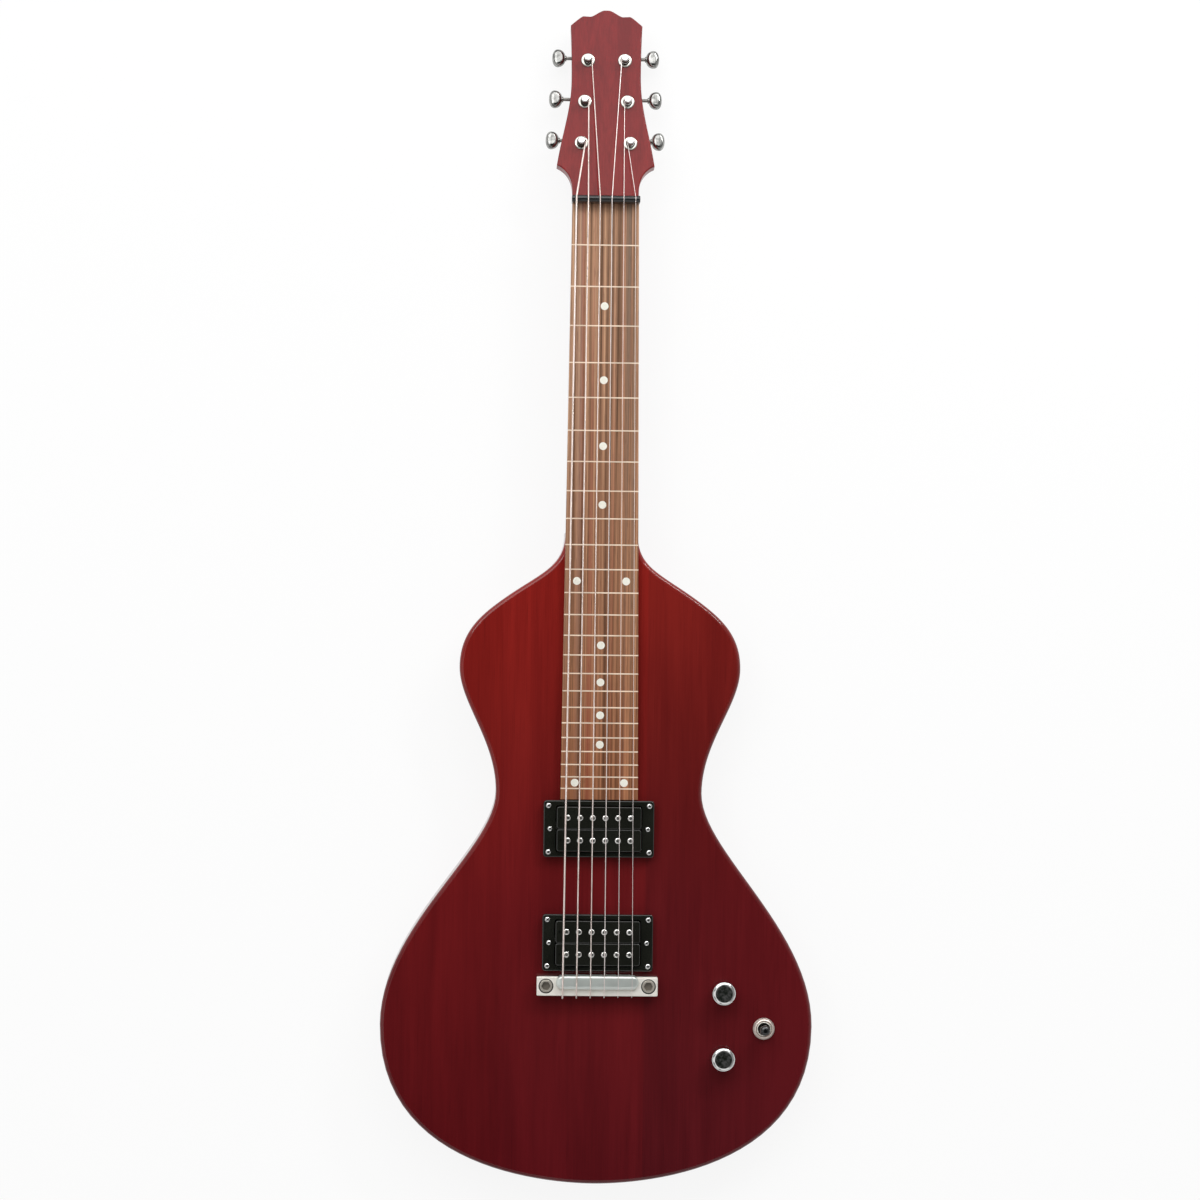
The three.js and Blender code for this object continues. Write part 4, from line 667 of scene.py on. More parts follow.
tuner = {"places": (44.7, 79.3, 113.9), "spreads": (39.8, 34.8, 30.1), "post": 3.05, "waist": 2.4,
         "height": 9.6, "waistLow": 2.6, "waistHigh": 7.0, "hub": 3.3, "hubTop": -15.8, "bushing": 4.3,
         "flange": 5.6, "flangeHeight": 1.5, "plateTop": -14.3, "plateBottom": -15.5, "plateWidth": 13.6,
         "plateReach": (16.6, 12.6), "ears": 4.45, "worm": -18.7, "wormReach": 6.6, "teeth": 12,
         "wheelRadius": 4.3, "wheelWidth": 3.0, "wormRadius": 2.3, "wormLength": 7.0, "crest": 0.35,
         "root": 0.65, "shaft": 1.45, "reach": 23.4, "button": (11.0, 16.1, 7.4), "wrapHigh": 6.3,
         "screwInset": 2.9, "earHalf": 3.2, "axleHole": 1.75, "collarRing": 2.4}


def makeNeck():
    end, pivot = body["end"], guitar["headPivot"]
    stops = [end + 0.3 + neck["heelLength"] * k / 14 for k in range(15)]
    stops += [mix(stops[-1], pivot, k / 10) for k in range(1, 11)]
    stops += [pivot + neck["volute"] * k / 16 for k in range(1, 17)]
    shaft = loft([neckRing(y) for y in stops])
    width, length, depth = neck["tenon"]
    tenon = rectangle(width, length + 3, centre=(0, end + 1.5 - length / 2))
    blade = slab(headOutline(), -neck["headThickness"], 0, neck["edge"], 4, headMatrix)
    fuse(shaft, slab(tenon, faceZ - depth, faceZ), blade)
    middles = [(side * spread / 2, place) for place, spread in zip(tuner["places"], tuner["spreads"])
               for side in (-1, 1)]
    cut(shaft, *[drill(neck["postHole"], -20, beyond, middle, matrix=headMatrix) for middle in middles])
    settle("neck_wood", "neck", dress("neck", shaft), angle=40)


makeNeck()
print("neck made")


def fretPlace(fret):
    return guitar["scaleLength"] * 2 ** (-fret / 12)


def makeBoard():
    top = guitar["boardTop"]
    side = [(1, faceZ + seatGap), (1, top - 0.6), (0.9965, top - 0.2), (0.988, top)]
    rings = []
    for y in (mix(board["start"], board["end"], k / 24) for k in range(25)):
        half = boardHalf(y)
        rings.append([(half * s, y, z) for s, z in side] + [(-half * s, y, z) for s, z in reversed(side)])
    settle("fingerboard_wood", "fingerboard", dress("board", loft(rings)), angle=50)
    lines, dots = [], []
    thick, r = board["lineWidth"] / 2, board["dot"] / 2
    for fret in range(1, board["frets"] + 1):
        y = fretPlace(fret)
        # the inlay stands a hair proud of the board, and reaches one millimetre into it
        outline = [(boardHalf(y) * s + 0.03, z + (0.04 if z > top - 0.5 else 0)) for s, z in side]
        outline = [(x, max(z, top - 1)) for x, z in outline]
        outline += [(-x, z) for x, z in reversed(outline)]
        lines.append(loft([[(x, y + t, z) for x, z in outline] for t in (-thick, thick)]))
    dress("line", *lines)
    settle("fret_lines", "fingerboard", *lines, stands=False)
    for fret in range(1, board["frets"] + 1):
        apart = board["pairSpacing"] / 2
        spots = [-apart, apart] if fret % 12 == 0 else [0] if fret % 12 in board["singleDots"] else []
        profile = [(0, top - 0.7), (r, top - 0.7), (r, top + 0.02), (r - 0.15, top + 0.07), (0, top + 0.1)]
        y = (fretPlace(fret) + fretPlace(fret - 1)) / 2
        dots += [spun(profile, 32, shift(x, y)) for x in spots]
    dress("pearl", *dots)
    settle("pearl_dots", "fingerboard", *dots, stands=False)


def stringX(index, spread):
    return mix(-spread / 2, spread / 2, index / 5)


nutBar = {"half": 3.0, "ends": [(26.9, 1.0), (27.35, 0.94), (27.6, 0.86)], "slack": 0.12}


def makeNut():
    middle, half, top, low = guitar["nutPlace"], nutBar["half"], guitar["stringZ"], faceZ + seatGap
    profile = [(middle - half, low), (middle + half, low)]
    profile += [polar(half, pi * k / 16, (middle, top - half)) for k in range(17)]
    rings = []
    for x, size in [(-x, size) for x, size in reversed(nutBar["ends"])] + nutBar["ends"]:
        rings.append([(x, middle + (y - middle) * size, low + (z - low) * (0.97 + 0.03 * size))
                      for y, z in profile])
    bar = loft(rings)
    slots = []
    for index, diameter in enumerate(guitar["stringDiameters"]):
        x = stringX(index, guitar["spreadAtNut"])
        for lift in (0, diameter / 2):  # the second cut opens the slot upward
            line = [(x, middle - 8, top + 0.02 + lift), (x, middle - 1, top + lift),
                    (x, middle + 1.5, top - 0.38 + lift), (x, middle + 8, top - 2.4 + lift)]
            slots.append(tube(line, diameter / 2 + nutBar["slack"], 12))
    settle("nut_bar", "nut", dress("nut", cut(bar, *slots)), angle=50)


makeBoard()
makeNut()
print("fingerboard and nut made")

bridge = {"width": 98.0, "back": 8.9, "front": 6.5, "low": 48.5, "top": 55.1, "holeZ": 51.2,
          "saddleHalf": 33.5, "saddleFront": 8.1, "saddleBack": 3.3, "studSeat": 6.0, "studNeck": 3.8,
          "stringHole": 1.1, "ballPocket": 2.3, "corner": 1.2, "edge": 0.8, "hexSocket": (3.7, 52.5)}
# radius and height of the stud's steps, and how far each corner is eased
studSteps = [(0, 26.5), (4.5, 26.5, 0.8), (4.5, 46.4), (6, 46.4, 0.4), (6, 48.4, 0.5), (3.5, 48.4, 0.1),
             (3.5, 51.9), (5.2, 51.9, 0.3), (5.2, 55.1, 0.6), (0, 55.1)]


# The raised bar that the strings lie on, with its ends drawn in and down
def saddleBlank():
    low, top = bridge["low"], bridge["top"]
    front, back, half = (bridge[key] for key in ("saddleFront", "saddleBack", "saddleHalf"))
    crown = guitar["saddleZ"]
    rise = crown - top
    brow = (front * 0.72, crown - 0.16)
    profile = [Vector((-back, low + 1)), Vector((front, low + 1)), Vector((front, top))]
    profile += bezier([(front, top), (front, top + rise * 0.9), brow], 12)
    profile += bezier([brow, (front * 0.4, crown), (0, crown)], 6)
    profile += bezier([(0, crown), (-back / 2, crown), (-back, top + rise * 0.62)], 8)
    centre, reach = (front - back) / 2, (front + back) / 2
    rings = []
    for k in range(-12, 13):
        x = copysign(half - reach * (1 - sin(pi / 2 * abs(k) / 12)), k) if k else 0
        past = max(0, abs(x) - half + reach) / reach
        squeeze = sqrt(max(0.02, 1 - past ** 2))
        fall = 1 - 0.55 * (1 - squeeze)
        rings.append([(x, centre + (p.x - centre) * squeeze, p.y if p.y <= top else top + (p.y - top) * fall)
                      for p in profile])
    return loft(rings)


def makeBridge():
    low, top, front, back = (bridge[key] for key in ("low", "top", "front", "back"))
    outline = rectangle(bridge["width"], back + front, bridge["corner"], 6, (0, (front - back) / 2))
    block = dress("satin", slab(outline, low, top, bridge["edge"], 4))
    fuse(block, dress("saddle", saddleBlank()))
    groove = rectangle(2 * bridge["saddleHalf"] - 6, 0.7, centre=(0, -bridge["saddleBack"] - 0.3))
    wells = [slab(groove, top - 1.2, top + 1)]
    for index in range(6):
        x = stringX(index, guitar["spreadAtBridge"])
        way = shift(x, 0, bridge["holeZ"]) @ Matrix.Rotation(-pi / 2, 4, "X")
        wells.append(drill(bridge["stringHole"], -12, 9, sides=20, matrix=way))
        wells.append(drill(bridge["ballPocket"], 2.5, 12, sides=28, matrix=way))
    x, y = body["studs"]
    for side in (-1, 1):
        # the seat's walls take the black finish: a painted shadow ring round the stud
        wells.append(dress("pit", drill(bridge["studSeat"], top - 3.5, top + beyond, (side * x, y), 48)))
        wells.append(drill(bridge["studNeck"], low - 3, top, (side * x, y)))
    settle("bridge_block", "bridge", cut(block, *wells), angle=30)
    for side, name in ((-1, "bridge_stud_bass"), (1, "bridge_stud_treble")):
        stud = dress("stud", spun(studSteps, 56))
        radius, floor = bridge["hexSocket"]
        # the socket's walls take the darker finish, painted shade in the hollow
        softened(cut(stud, dress("socket", slab(circle(radius, 6), floor, 58))), 0.12, 2, 50)
        stud.data.transform(shift(side * x * mm, y * mm))
        settle(name + "_screw", name, stud)


makeBridge()
print("bridge made")


# Side of the head and place of the post that a string runs to
def tunerOf(index):
    step = index if index < 3 else 5 - index
    side = -1 if index < 3 else 1
    return side, side * tuner["spreads"][step] / 2, tuner["places"][step]


# Where a string leaves the nut, where it touches its post, and the angle and radius of its winding
def wrapStart(index):
    radius = tuner["waist"] + guitar["stringDiameters"][index] / 2 + 0.02
    side, x, y = tunerOf(index)
    atNut = stringX(index, guitar["spreadAtNut"])
    crown = Vector((atNut, guitar["nutPlace"] + 1.5, guitar["stringZ"] - 0.375))
    local = headMatrix.inverted() @ crown
    toPost = Vector((x - local.x, y - local.y))
    angle = atan2(-toPost.y, -toPost.x) - side * acos(radius / toPost.length)
    touch = Vector((*polar(radius, angle, (x, y)), tuner["wrapHigh"]))
    return crown, touch, angle, radius


def makeStrings():
    back, holeZ = bridge["back"], bridge["holeZ"]
    for index, diameter in enumerate(guitar["stringDiameters"]):
        x = stringX(index, guitar["spreadAtBridge"])
        ledge = bridge["top"] + diameter / 2 + 0.12
        tail = -back - 0.25 - diameter / 2
        loop = [(x, -back - 0.1, holeZ), (x, tail - 0.7, holeZ + 0.8), (x, tail - 0.9, (ledge + holeZ) / 2),
                (x, tail - 0.5, ledge - 0.7), (x, -back + 0.6, ledge)]
        onSaddle = guitar["saddleZ"] + diameter / 2 + 0.03
        crown, touch, *_ = wrapStart(index)
        over = [(x, -2.2, onSaddle - 0.25), (x, -0.6, onSaddle), (x, 1.6, onSaddle),
                (crown.x, guitar["nutPlace"] - 1, guitar["stringZ"])]
        line = [(x, 3.5, holeZ), *smoothLine(loop, 5), *over, crown, headMatrix @ touch]
        wire = dress(f"wound{index}" if index < guitar["woundStrings"] else "steel", tube(line, diameter / 2))
        profile = [(0.6, -1.6, 0.1), (1.9, -1.6, 0.4), (1.3, 0, 0.5), (1.9, 1.6, 0.4), (0.6, 1.6, 0.1)]
        ball = dress("nickel", spun(profile, 24, shift(x, 4.5, holeZ) @ towardTail, 3))
        name = f"string_{index + 1}"
        settle(name + "_wire", name, wire, ball)


makeStrings()
print("strings made")


def wheelBlank(place):
    count, pitch = tuner["teeth"], tuner["wheelRadius"]
    root, crest = pitch - tuner["root"], pitch + tuner["crest"]
    flank = mix(crest, root, 0.55)
    tooth = [(-0.06, crest), (0.06, crest), (0.28, flank), (0.46, root), (0.54, root), (0.72, flank)]
    lean = 1 / (count * tuner["wormRadius"])  # the teeth follow the worm's thread
    half, bevel = tuner["wheelWidth"] / 2, 0.25
    rings = []
    for z, shrink in ((-half, bevel), (-half + bevel, 0), (0, 0), (half - bevel, 0), (half, bevel)):
        ring = []
        for start in range(count):
            for share, radius in tooth:
                angle = (start + 0.5 + share) * 2 * pi / count + lean * z
                size = min(radius, crest - shrink)
                ring.append((*polar(size, angle), z))
        rings.append(ring)
    return loft(rings, place)


def wormBlank(place, facing):
    pitch = 2 * pi * tuner["wheelRadius"] / tuner["teeth"]
    root, crest = tuner["wormRadius"] - tuner["root"], tuner["wormRadius"] + tuner["crest"]
    half, rows = tuner["wormLength"] / 2, 56
    rings = []
    for x in (mix(-half, half, row / rows) for row in range(rows + 1)):
        ring = []
        for angle in turns(28):
            phase = (x / pitch - (angle - facing) / (2 * pi)) % 1
            off = min(phase, 1 - phase)
            radius = crest if off <= 0.06 else mix(crest, root, (off - 0.06) / 0.44)
            ring.append((x, *polar(radius, angle)))
        rings.append(ring)
    return loft(rings, place)


# A round rod along the X axis of its place
def rod(place, start, end, radius, edge=0.15):
    profile = [(0, start), (radius, start, edge), (radius, end, edge), (0, end)]
    return spun(profile, 32, place @ alongX, 3)


def buttonBlank(place):
    length, width, thick = tuner["button"]
    outline = []
    for angle in turns(56):
        reach = copysign(abs(cos(angle)) ** 0.86, cos(angle))
        side = copysign(abs(sin(angle)) ** 0.92, sin(angle))
        swell = 0.9 + 0.1 * reach  # a little wider toward the thumb
        outline.append(Vector((tuner["reach"] + reach * length / 2, side * swell * width / 2)))
    # height as a share of the half thickness, and how far the outline is drawn in there
    levels = [(-1, 3.9), (-0.975, 2.7), (-0.88, 1.7), (-0.7, 0.8), (-0.45, 0.25), (-0.2, 0.03), (0, 0)]
    levels += [(-z, shrink) for z, shrink in reversed(levels[:-1])]
    rings = [[(p.x, p.y, z * thick / 2) for p in inset(outline, shrink)] for z, shrink in levels]
    return softened(loft(rings, place), 0.25, 2, 30)


def makeBushing(name, place):
    flange, top = tuner["flange"], tuner["flangeHeight"]
    inner, outer = tuner["post"] + 0.3, tuner["bushing"]
    profile = [(inner, -8), (outer, -8), (outer, seatGap), (flange, seatGap, 0.15), (flange, top * 0.7, 0.25),
               (flange - 0.5, top, 0.25), (inner + 0.35, top, 0.15), (inner, top - 0.4, 0.1)]
    settle(name + "_collar", name + "_bushing", dress("collar", spun(profile, 56, place)))


def makePost(name, index, place):
    radius, waist, hub, hubTop = (tuner[key] for key in ("post", "waist", "hub", "hubTop"))
    low, high, tip, wrapHigh = (tuner[key] for key in ("waistLow", "waistHigh", "height", "wrapHigh"))
    foot = tuner["worm"] - tuner["wheelWidth"] / 2
    profile = [(0, foot), (hub, foot, 0.2), (hub, hubTop, 0.2), (radius, hubTop), (radius, low - 0.65, 0.3),
               (waist, low, 0.3), (waist, high, 0.3), (radius, high + 0.65, 0.3), (radius, tip, 0.9),
               (0, tip)]
    post = spun(profile, 40, place)
    diameter = guitar["stringDiameters"][index]
    *_, angle, wrap = wrapStart(index)
    pitch = diameter * 1.05
    loops = min(4.0, (wrapHigh - low - diameter / 2) / pitch)
    steps = round(loops * 28)
    coil = []
    for done in (loops * k / steps for k in range(steps + 1)):
        around = angle - tunerOf(index)[0] * 2 * pi * done
        coil.append((*polar(wrap, around), wrapHigh - pitch * done))
    x, y, z = coil[-1]
    coil.append((x * 0.4, y * 0.4, z))  # the end goes into the post
    winding = tube(coil, diameter / 2, 12, place)
    wheel = wheelBlank(place @ shift(0, 0, tuner["worm"]))
    screw = screwHead("post", place @ shift(0, 0, foot) @ facingDown)
    dress("chrome", post)
    # the windings take the dark finish, painted shade on the post's side
    dress("nickel", wheel)
    dress("winding", winding)
    settle(name + "_shaft", name + "_post", post, wheel, winding, screw)


def makePlate(name, side, turned):
    ahead, behind = tuner["plateReach"][::side]
    bottom, wormZ, wormY = tuner["plateBottom"], tuner["worm"], side * tuner["wormReach"]
    outline = rectangle(tuner["plateWidth"], ahead + behind, 3, 6, (0, (ahead - behind) / 2))
    plate = slab(outline, bottom, tuner["plateTop"], 0.0, 3, turned, 0.35)
    half = tuner["earHalf"]
    near, far, foot = wormY - half, wormY + half, wormZ - half
    ear = eased([(near, foot, 2.6), (far, foot, 2.6), (far, bottom + 0.5), (near, bottom + 0.5)], 6)
    ears = []
    for x in (-tuner["ears"], tuner["ears"]):
        ears.append(loft([[(x + t, p.x, p.y) for p in ear] for t in (-0.65, 0.65)], turned))
    fuse(plate, *ears)
    cut(plate, drill(tuner["hub"] + 0.05, -30, -10, matrix=turned),
        rod(turned @ shift(0, wormY, wormZ), -9, 9, tuner["axleHole"]))
    dress("chrome", softened(plate, 0.12, 2, 50))
    ends = (tuner["screwInset"] - behind, ahead - tuner["screwInset"])
    heads = [screwHead("plate", turned @ shift(0, y, bottom) @ facingDown) for y in ends]
    settle(name + "_base", name + "_plate", plate, *heads)


def makeButton(name, side, turned):
    axle = turned @ shift(0, side * tuner["wormReach"], tuner["worm"])
    shaft = rod(axle, -5.8, 20, tuner["shaft"])
    rings = [rod(axle, start, end, tuner["collarRing"], edge) for start, end, edge in
             ((5.4, 6.8, 0.3), (17.2, 19.3, 0.4))]
    worm = wormBlank(axle, pi if side > 0 else 0)
    dress("stem", shaft, *rings, worm)
    handle = dress("button", buttonBlank(axle))
    settle(name + "_stem", name + "_button", shaft, *rings, worm, handle, angle=40)


for index in range(6):
    side, x, y = tunerOf(index)
    name = f"tuner_{index + 1}"
    place = headMatrix @ shift(x, y)
    turned = place @ Matrix.Rotation(0 if side > 0 else pi, 4, "Z")
    makeBushing(name, place)
    makePost(name, index, place)
    makePlate(name, side, turned)
    makeButton(name, side, turned)
print("machine heads made")


def makeSurround(name, at):
    high, spread = pickup["ringHeight"], pickup["screwSpread"] / 2
    (width, length), corner = pickup["bobbin"], pickup["corner"]
    ring = slab(rectangle(*pickup["ring"], 3, 8), seatGap, high, 1.0, 4, at, 0.2)
    wells = [slab(rectangle(width + 1.4, 2 * length + 1.7, corner, 6), -3, high + 3, matrix=at)]
    wells += [drill(1.7, -3, high + 3, (x, 0), 24, at) for x in (-spread, spread)]
    dress("pickup", softened(cut(ring, *wells), 0.3, 3, 50))
    x, y = (size / 2 for size in pickup["cornerScrews"])
    spots = [at @ shift(i * x, j * y, high, 0.5 + i * 0.6 + j * 0.9) for i in (-1, 1) for j in (-1, 1)]
    settle(name + "_frame", name + "_ring", ring, *[screwHead("surround", spot) for spot in spots])


def makeBobbin(name, label, here, adjustable):
    (width, length), corner = pickup["bobbin"], pickup["corner"]
    top, bottom = pickup["bobbinTop"], pickup["bobbinTop"] - pickup["bobbinHeight"]
    spool = slab(rectangle(width, length, corner, 8), top - 1.6, top, 0.8, 4, here)
    coil = rectangle(width - 2.4, length - 2.4, corner, 6)
    foot = rectangle(width, length, corner, 6)
    fuse(spool, slab(coil, bottom + 0.8, top - 0.8, matrix=here),
         slab(foot, bottom, bottom + 1.6, 0.3, 2, here))
    columns = [(k - 2.5) * pickup["pitch"] for k in range(6)]
    holes = [drill(0.9, top - 0.9, top + 2, (-30.9, 0), 20, here)]
    holes += [drill(2.7, bottom - 2, top + 2, (x, 0), 32, here) for x in columns]
    settle(f"{name}_spool_{label}", f"{name}_bobbin_{label}", dress("pickup", cut(spool, *holes)))

    width, length, thick = pickup["keeper"]
    keeperTop, r = bottom - pickup["keeperGap"], screws["pole"][0]
    keeper = slab(rectangle(width, length, 0.4, 2), keeperTop - thick, keeperTop, 0.3, 2, here)
    dress("nickel", keeper)
    poles = []
    for k, x in enumerate(columns):
        spot = here @ shift(x, 0, top - 0.15, 0.35 + 0.5 * k)
        if adjustable:
            poles.append(screwHead("pole", spot))
        else:
            crown = [(r * cos(a), 0.35 + 0.6 * sin(a)) for a in (0.35, 0.7, 1.05, 1.35)]
            crown = [(0, -0.6), (r - 0.1, -0.6), (r, 0.35), *crown, (0, 0.95)]
            poles.append(dress("pole", spun(crown, 32, spot)))
        slug = [(0, keeperTop - 1), (r - 0.1, keeperTop - 1), (r - 0.1, top), (0, top)]
        poles.append(dress("nickel", spun(slug, 24, here @ shift(x, 0))))
    settle(f"{name}_poles_{label}_row", f"{name}_poles_{label}", keeper, *poles)


def makeTray(name, at):
    high, thick = pickup["ringHeight"], pickup["keeper"][2]
    top = pickup["bobbinTop"] - pickup["bobbinHeight"] - 0.6 - thick
    tray = slab(rectangle(*pickup["tray"], pickup["corner"], 6), top - 1, top, 0.25, 2, at)
    dress("nickel", tray)
    parts = []
    for side in (-1, 1):
        x = side * pickup["screwSpread"] / 2
        width, length, off = pickup["trayWall"]
        wall = slab(rectangle(width, length, 0.2, 2, (side * off, 0)), top - 7, top - 0.5, matrix=at)
        width, length, off = pickup["trayFoot"]
        foot = slab(rectangle(width, length, 1.5, 4, (side * off, 0)), top - 7, top - 6, 0.2, 2, at)
        shank = [(0, top - 10), (1.3, top - 9.6), (1.3, high), (0, high)]
        shank = spun(shank, 20, at @ shift(x, 0))
        dress("nickel", wall, foot, shank)
        parts += [wall, foot, shank, screwHead("pickupHeight", at @ shift(x, 0, high + 0.1, 0.9))]
    settle(name + "_tray", name + "_base_plate", tray, *parts)


for name, place in pickup["places"].items():
    at = shift(0, place, faceZ)
    makeSurround(name, at)
    screwed = 1 if name == "neck_pickup" else -1  # the screwed poles face the ends of the strings
    for side, label in ((1, "head_side"), (-1, "tail_side")):
        makeBobbin(name, label, shift(0, place + side * pickup["row"] / 2, faceZ), side == screwed)
    makeTray(name, at)
    bar = frame["nodes"][name + "_magnet"]
    bar.data.materials.clear()
    dress("magnet", bar)
print("pickups made")

knob = {"radius": 9.5, "low": 45.3, "top": 61.3, "edge": 2.6, "dome": 1.6, "skirt": 7.5, "shaft": 3.0,
        "shaftEnd": 32.5, "hollow": 3.6, "grub": 1.2, "grubHeight": 4.5}
pot = {"radius": 12.0, "low": 29.7, "top": 38.2, "bush": (3.3, 4.7, 47.5), "washer": 6.8, "washerLow": 44.6,
       "nut": 6.7, "nutTop": 47.4, "lugs": (18.0, 15.0)}


def makeControl(name, x, y):
    here = shift(x, y)
    r, low, top, skirt, shaft = (knob[key] for key in ("radius", "low", "top", "skirt", "shaft"))
    hollow, end = low + knob["hollow"], knob["shaftEnd"]
    flat, fall = r - knob["edge"], knob["dome"] * 0.4
    rim = top - fall
    profile = [(flat * k / 8, top - fall * (k / 8) ** 2) for k in range(9)]
    profile += bezier([(flat, rim), (r - 1, rim - 0.35), (r - 0.25, rim - 1.15)], 10)
    profile += bezier([(r - 0.25, rim - 1.15), (r, rim - 1.4), (r, rim - 1.9)], 4)
    profile += [(r, low, 0.35), (skirt, low, 0.3), (skirt, hollow), (shaft, hollow), (shaft, end), (0, end)]
    cap = spun(profile, 72, here, 3)
    grub = shift(x, y, low + knob["grubHeight"]) @ towardTail
    cut(cap, drill(knob["grub"], r - 1.5, r + 3, sides=20, matrix=grub))
    settle(name + "_cap", name + "_knob", dress("chrome", cap), angle=35)

    wide, bottom, ceiling, ring, under = (pot[key] for key in ("radius", "low", "top", "washer", "washerLow"))
    inner, outer, bushTop = pot["bush"]
    case = [(0, bottom), (wide, bottom, 0.8), (wide, ceiling, 0.5), (0, ceiling)]
    can = dress("can", spun(case, 56, here))
    bush = [(inner, 37), (outer, 37), (outer, bushTop), (outer - 0.2, bushTop), (inner, bushTop)]
    hole = outer + 0.05
    washer = [(hole, under), (ring, under, 0.15), (ring, low, 0.15), (hole, low)]
    nut = slab(circle(pot["nut"], 6), low, pot["nutTop"], 0.2, 2, here)
    cut(nut, drill(hole, low - beyond, low + beyond, (x, y), 32))
    width, length = pot["lugs"]
    parts = [spun(bush, 40, here), spun(washer, 48, here, 2), nut,
             slab(rectangle(width, length, 0.5, 2, (-width / 2, 0)), 35, 36.6, matrix=here)]
    dress("nickel", *parts)
    settle(name + "_can", name + "_pot", can, *parts)


makeControl("volume", *stations[0])
makeControl("tone", *stations[1])

selector = {"frame": (12.0, 26.0), "frameLow": 17.2, "frameTop": 38.2, "bore": 3.3, "barrel": 5.8,
            "ring": (8.7, 8.9), "ridges": 60, "ringLow": 44.6, "ringTop": 46.9}
lever = {"ball": 3.0, "stem": 1.5, "tip": 4.3, "tipLength": 10.0, "length": 18.0}


def makeSelector():
    x, y = control["selector"]
    here, bore, outer = shift(x, y), selector["bore"], selector["barrel"]
    frameBlank = rectangle(*selector["frame"], 1, 3)
    base = slab(frameBlank, selector["frameLow"], selector["frameTop"], 0.4, 2, here)
    thread = [(bore, 38), (outer, 38), (outer, 48.4), (5.65, 49.1), (5.45, 49.2), (5.2, 49), (3.6, 46),
              (bore, 45)]
    barrel = spun(thread, 56, here)
    ridges = selector["ridges"]
    outline = [polar(selector["ring"][k % 2], pi * k / ridges) for k in range(2 * ridges)]
    ring = slab(outline, selector["ringLow"], selector["ringTop"], 0.35, 2, here, 0.2)
    cut(ring, drill(outer + 0.1, 40, 52, (x, y), 48))
    step = [(6.0, 46), (8.3, 46.8, 0.2), (7.7, 48, 0.5), (6.7, 48.5, 0.2), (6.4, 47.6, 0.2), (6.3, 46.3),
            (6.0, 46.3)]
    collar = spun(step, 56, here, 3)
    # a thin black sheet inside the barrel's top: painted shade in the bore
    paintedShadeSheet = [(3.35, 45), (3.65, 46), (5.15, 48.8), (5.1, 48.85), (3.5, 46.1), (3.32, 45.2)]
    paintedShadeSheet = spun(paintedShadeSheet, 56, here)
    dress("nickel", base)
    dress("satin", barrel)
    dress("knurl", ring, collar)
    dress("pit", paintedShadeSheet)
    settle("selector_frame", "selector_switch", base, barrel, ring, collar, paintedShadeSheet)

    ball, r, stem = lever["ball"], lever["tip"], lever["stem"]
    tip = faceZ + lever["length"]
    foot = tip - lever["tipLength"]
    profile = [(ball * sin(a), faceZ - ball * cos(a)) for a in (0, 0.3, 0.7, 1.1, 1.57, 2.0, 2.4)]
    profile += [(stem, faceZ + 2.6), (stem, foot), (0, foot)]
    stemPiece = dress("nickel", spun(profile, 40, here))
    cap = [(0, foot), (r * 0.62, foot, 0.5), (r * 0.72, foot + 2.2, 0.8), (r, tip - 4.2, 2),
           (r * 0.92, tip - 1.2, 1.1), (r * 0.42, tip, 1), (0, tip)]
    settle("lever_stem", "selector_lever", stemPiece, dress("tip", spun(cap, 48, here, 7)))


def makeJack():
    seat = body["lower"][0] - jack["recessDepth"] + jack["clearance"]
    inner, outer, (hole, wide) = jack["bore"], jack["barrel"], jack["washer"]
    mouth, end, plugEnd = seat + jack["collar"], seat - jack["length"], seat - jack["plugDepth"]
    profile = [(0, plugEnd), (0, end), (outer, end, 0.4), (outer, mouth, 0.3), (inner, mouth, 0.3),
               (inner, plugEnd)]
    barrel = spun(profile, 48, rimMatrix, 3)
    across, low, high = jack["nut"]
    washer = [(hole, seat), (wide, seat, 0.2), (wide, seat + low, 0.25), (hole, seat + low)]
    washer = spun(washer, 56, rimMatrix, 3)
    nut = slab(circle(across, 6), seat + low, seat + high, 0.3, 3, rimMatrix)
    cut(nut, drill(hole, seat - beyond, seat + high + beyond, matrix=rimMatrix))
    dress("nickel", barrel, washer, nut)
    settle("jack_barrel", "output_jack", barrel, washer, nut)


def makeCover():
    margin = control["margin"] + control["coverMargin"]
    outline = bandRound(stations, margin - 0.3)
    cover = dress("cover", slab(outline, seatGap, control["coverThickness"], lowEdge=0.4))
    middle, reach = middleOf(stations), margin - control["coverMargin"] / 2
    spots = [Vector(p) + (Vector(p) - middle).normalized() * reach for p in stations]
    cut(cover, *[drill(2.6, -2, 1.2, spot, 28) for spot in spots])
    heads = [screwHead("cover", shift(*spot, 0.9) @ facingDown) for spot in spots]
    settle("cover_plate", "control_cover", cover, *heads)


makeSelector()
makeJack()
makeCover()
print("controls made")

studio = {
    "centre": (-1.1, 311.7, 50.5),  # what the middle of the picture shows
    "distance": 2700.0, "frame": 972.0, "cameraX": -95.0, "roll": 0.64, "sensor": 36.0,
    "floorSize": 9000.0, "floorShade": 0.9, "floorGlow": 0.88,
    # brightness of the air by height, from straight down at 0 over the horizon at 0.5 to straight up at 1
    "skyStops": [(0.5, 0.97), (0.59, 0.9), (0.63, 0.4), (0.7, 0.4), (0.76, 0.85), (1.0, 1.0)],
    "darkSpot": (0.05, -0.12, 0.99), "spotEdge": (27, 22.5),  # what the knobs show in their middle
    # name, place and size in metres, and power in watts
    "lamps": [("head_window", (-0.4, 1.75, 1.5), (2.4, 1.6), 24),
              ("left_lamp", (-1.3, 1.2, 2.1), (0.3, 0.3), 2),
              ("shoulder_strip", (1.03, 1.62, 1.1), (0.9, 0.22), 13)],
    "lampTarget": (0, 0.3, 0),
}


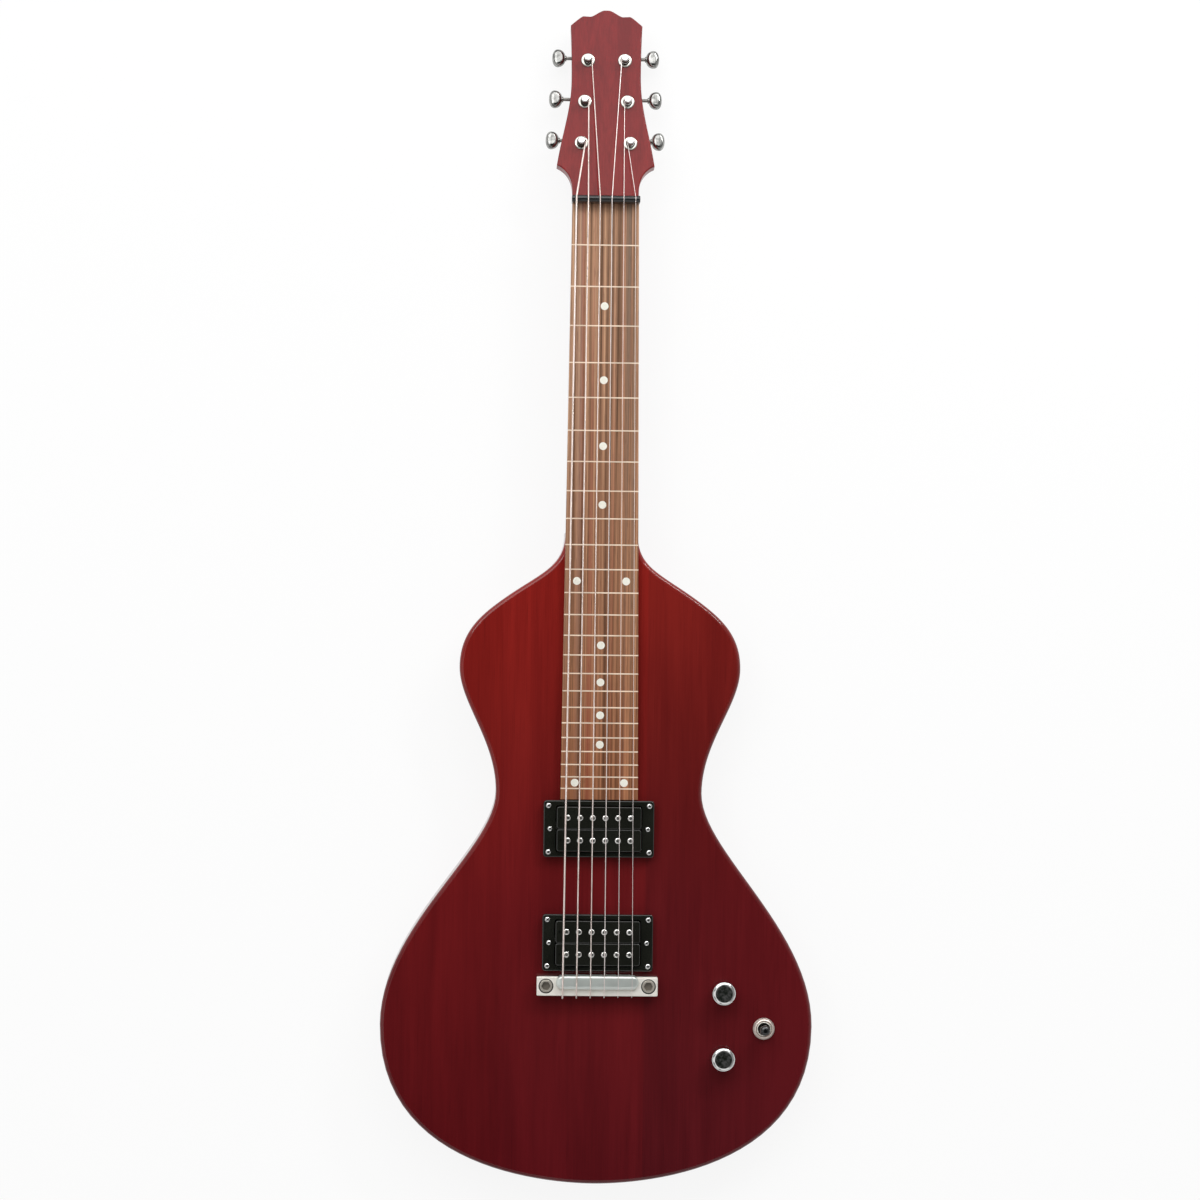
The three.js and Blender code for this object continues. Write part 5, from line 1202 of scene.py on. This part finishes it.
def makeFloor():
    half, shade = studio["floorSize"], studio["floorShade"]
    floor = addMesh([(-half, -half, 0), (half, -half, 0), (half, half, 0), (-half, half, 0)],
                    [[0, 1, 2, 3]])
    floor.name = "studio_floor"
    paper = Finish("studio_paper", Roughness=0.9, Specular_IOR_Level=0.0)
    grain = paper.noise(30, 2, 0.5)
    paper.feed(Base_Color=paper.ramp(grain, (0.0, (shade - 0.01,) * 3), (1.0, (shade + 0.01,) * 3)))
    camera, glossy, clear = (paper.node("LightPath", out=f"Is {ray} Ray")
                             for ray in ("Camera", "Glossy", "Transmission"))
    glow = paper.node("Emission", {"Color": (1, 1, 1, 1), "Strength": 1.0})
    lit = Wire(paper, paper.shader.outputs["BSDF"])
    share = (camera + glossy + clear) * studio["floorGlow"]
    blended = paper.node("MixShader", {0: share, 1: lit, 2: glow})
    fromBelow = paper.node("NewGeometry", out="Backfacing")
    final = paper.node("MixShader", {0: fromBelow, 1: blended, 2: paper.node("BsdfTransparent")})
    paper.tree.links.new(final.socket, paper.tree.nodes["Material Output"].inputs["Surface"])
    floor.data.materials.append(paper.material)


def makeWorld():
    world = bpy.data.worlds.new("studio_air")
    scene.world = world
    world.use_nodes = True
    sky = Sky(world)
    height = sky.axis("Z")
    level = sky.ramp(sky.span(height, -1, 1), *[(place, (v, v, v)) for place, v in studio["skyStops"]])
    panels = sky.ramp(sky.noise(1.9, 1), (0.43, (0.3, 0.3, 0.3)), (0.5, (1, 1, 1)))
    level = sky.blend(sky.span(height, 0.3, 0.45), level, sky.blend(1.0, level, panels, "MULTIPLY"))
    spot = Vector(studio["darkSpot"]).normalized()
    near = sky.node("VectorMath", {0: sky.place, 1: spot}, "Value", operation="DOT_PRODUCT")
    edge = [cos(radians(angle)) for angle in studio["spotEdge"]]
    dark = sky.ramp(sky.noise(7, 2), (0.45, (0.01, 0.013, 0.01)), (0.66, (0.08, 0.08, 0.08)))
    level = sky.blend(sky.span(near, *edge), level, dark)
    level = sky.blend(sky.node("LightPath", out="Is Camera Ray"), level, (1, 1, 1, 1))
    sky.tree.links.new(level.socket, sky.tree.nodes["Background"].inputs["Color"])


def makeLamp(name, place, size, power):
    light = bpy.data.lights.new(name, "AREA")
    light.shape, light.size, light.size_y, light.energy = "RECTANGLE", size[0], size[1], power
    lamp = bpy.data.objects.new(name, light)
    scene.collection.objects.link(lamp)
    lamp.location = place
    toGuitar = Vector(studio["lampTarget"]) - Vector(place)
    lamp.rotation_euler = toGuitar.to_track_quat("-Z", "Y").to_euler()
    lamp.visible_camera = False


def makeCamera():
    data = bpy.data.cameras.new("photo_camera")
    camera = bpy.data.objects.new("photo_camera", data)
    scene.collection.objects.link(camera)
    target = Vector(studio["centre"]) * mm
    place = target + Vector((studio["cameraX"], 0, studio["distance"])) * mm
    back = (place - target).normalized()
    right = Vector((0, 1, 0)).cross(back).normalized()
    axes = Matrix((right, back.cross(right), back)).transposed().to_4x4()
    roll = Matrix.Rotation(radians(studio["roll"]), 4, "Z")
    camera.matrix_world = Matrix.Translation(place) @ axes @ roll
    data.sensor_fit, data.sensor_width = "HORIZONTAL", studio["sensor"]
    data.lens = studio["sensor"] * studio["distance"] / studio["frame"]
    data.clip_start, data.clip_end = 0.05, 40.0
    data.dof.use_dof = False
    scene.camera = camera


makeFloor()
makeWorld()
for lamp in studio["lamps"]:
    makeLamp(*lamp)
makeCamera()
scene.view_settings.view_transform = "Standard"
print("studio made")
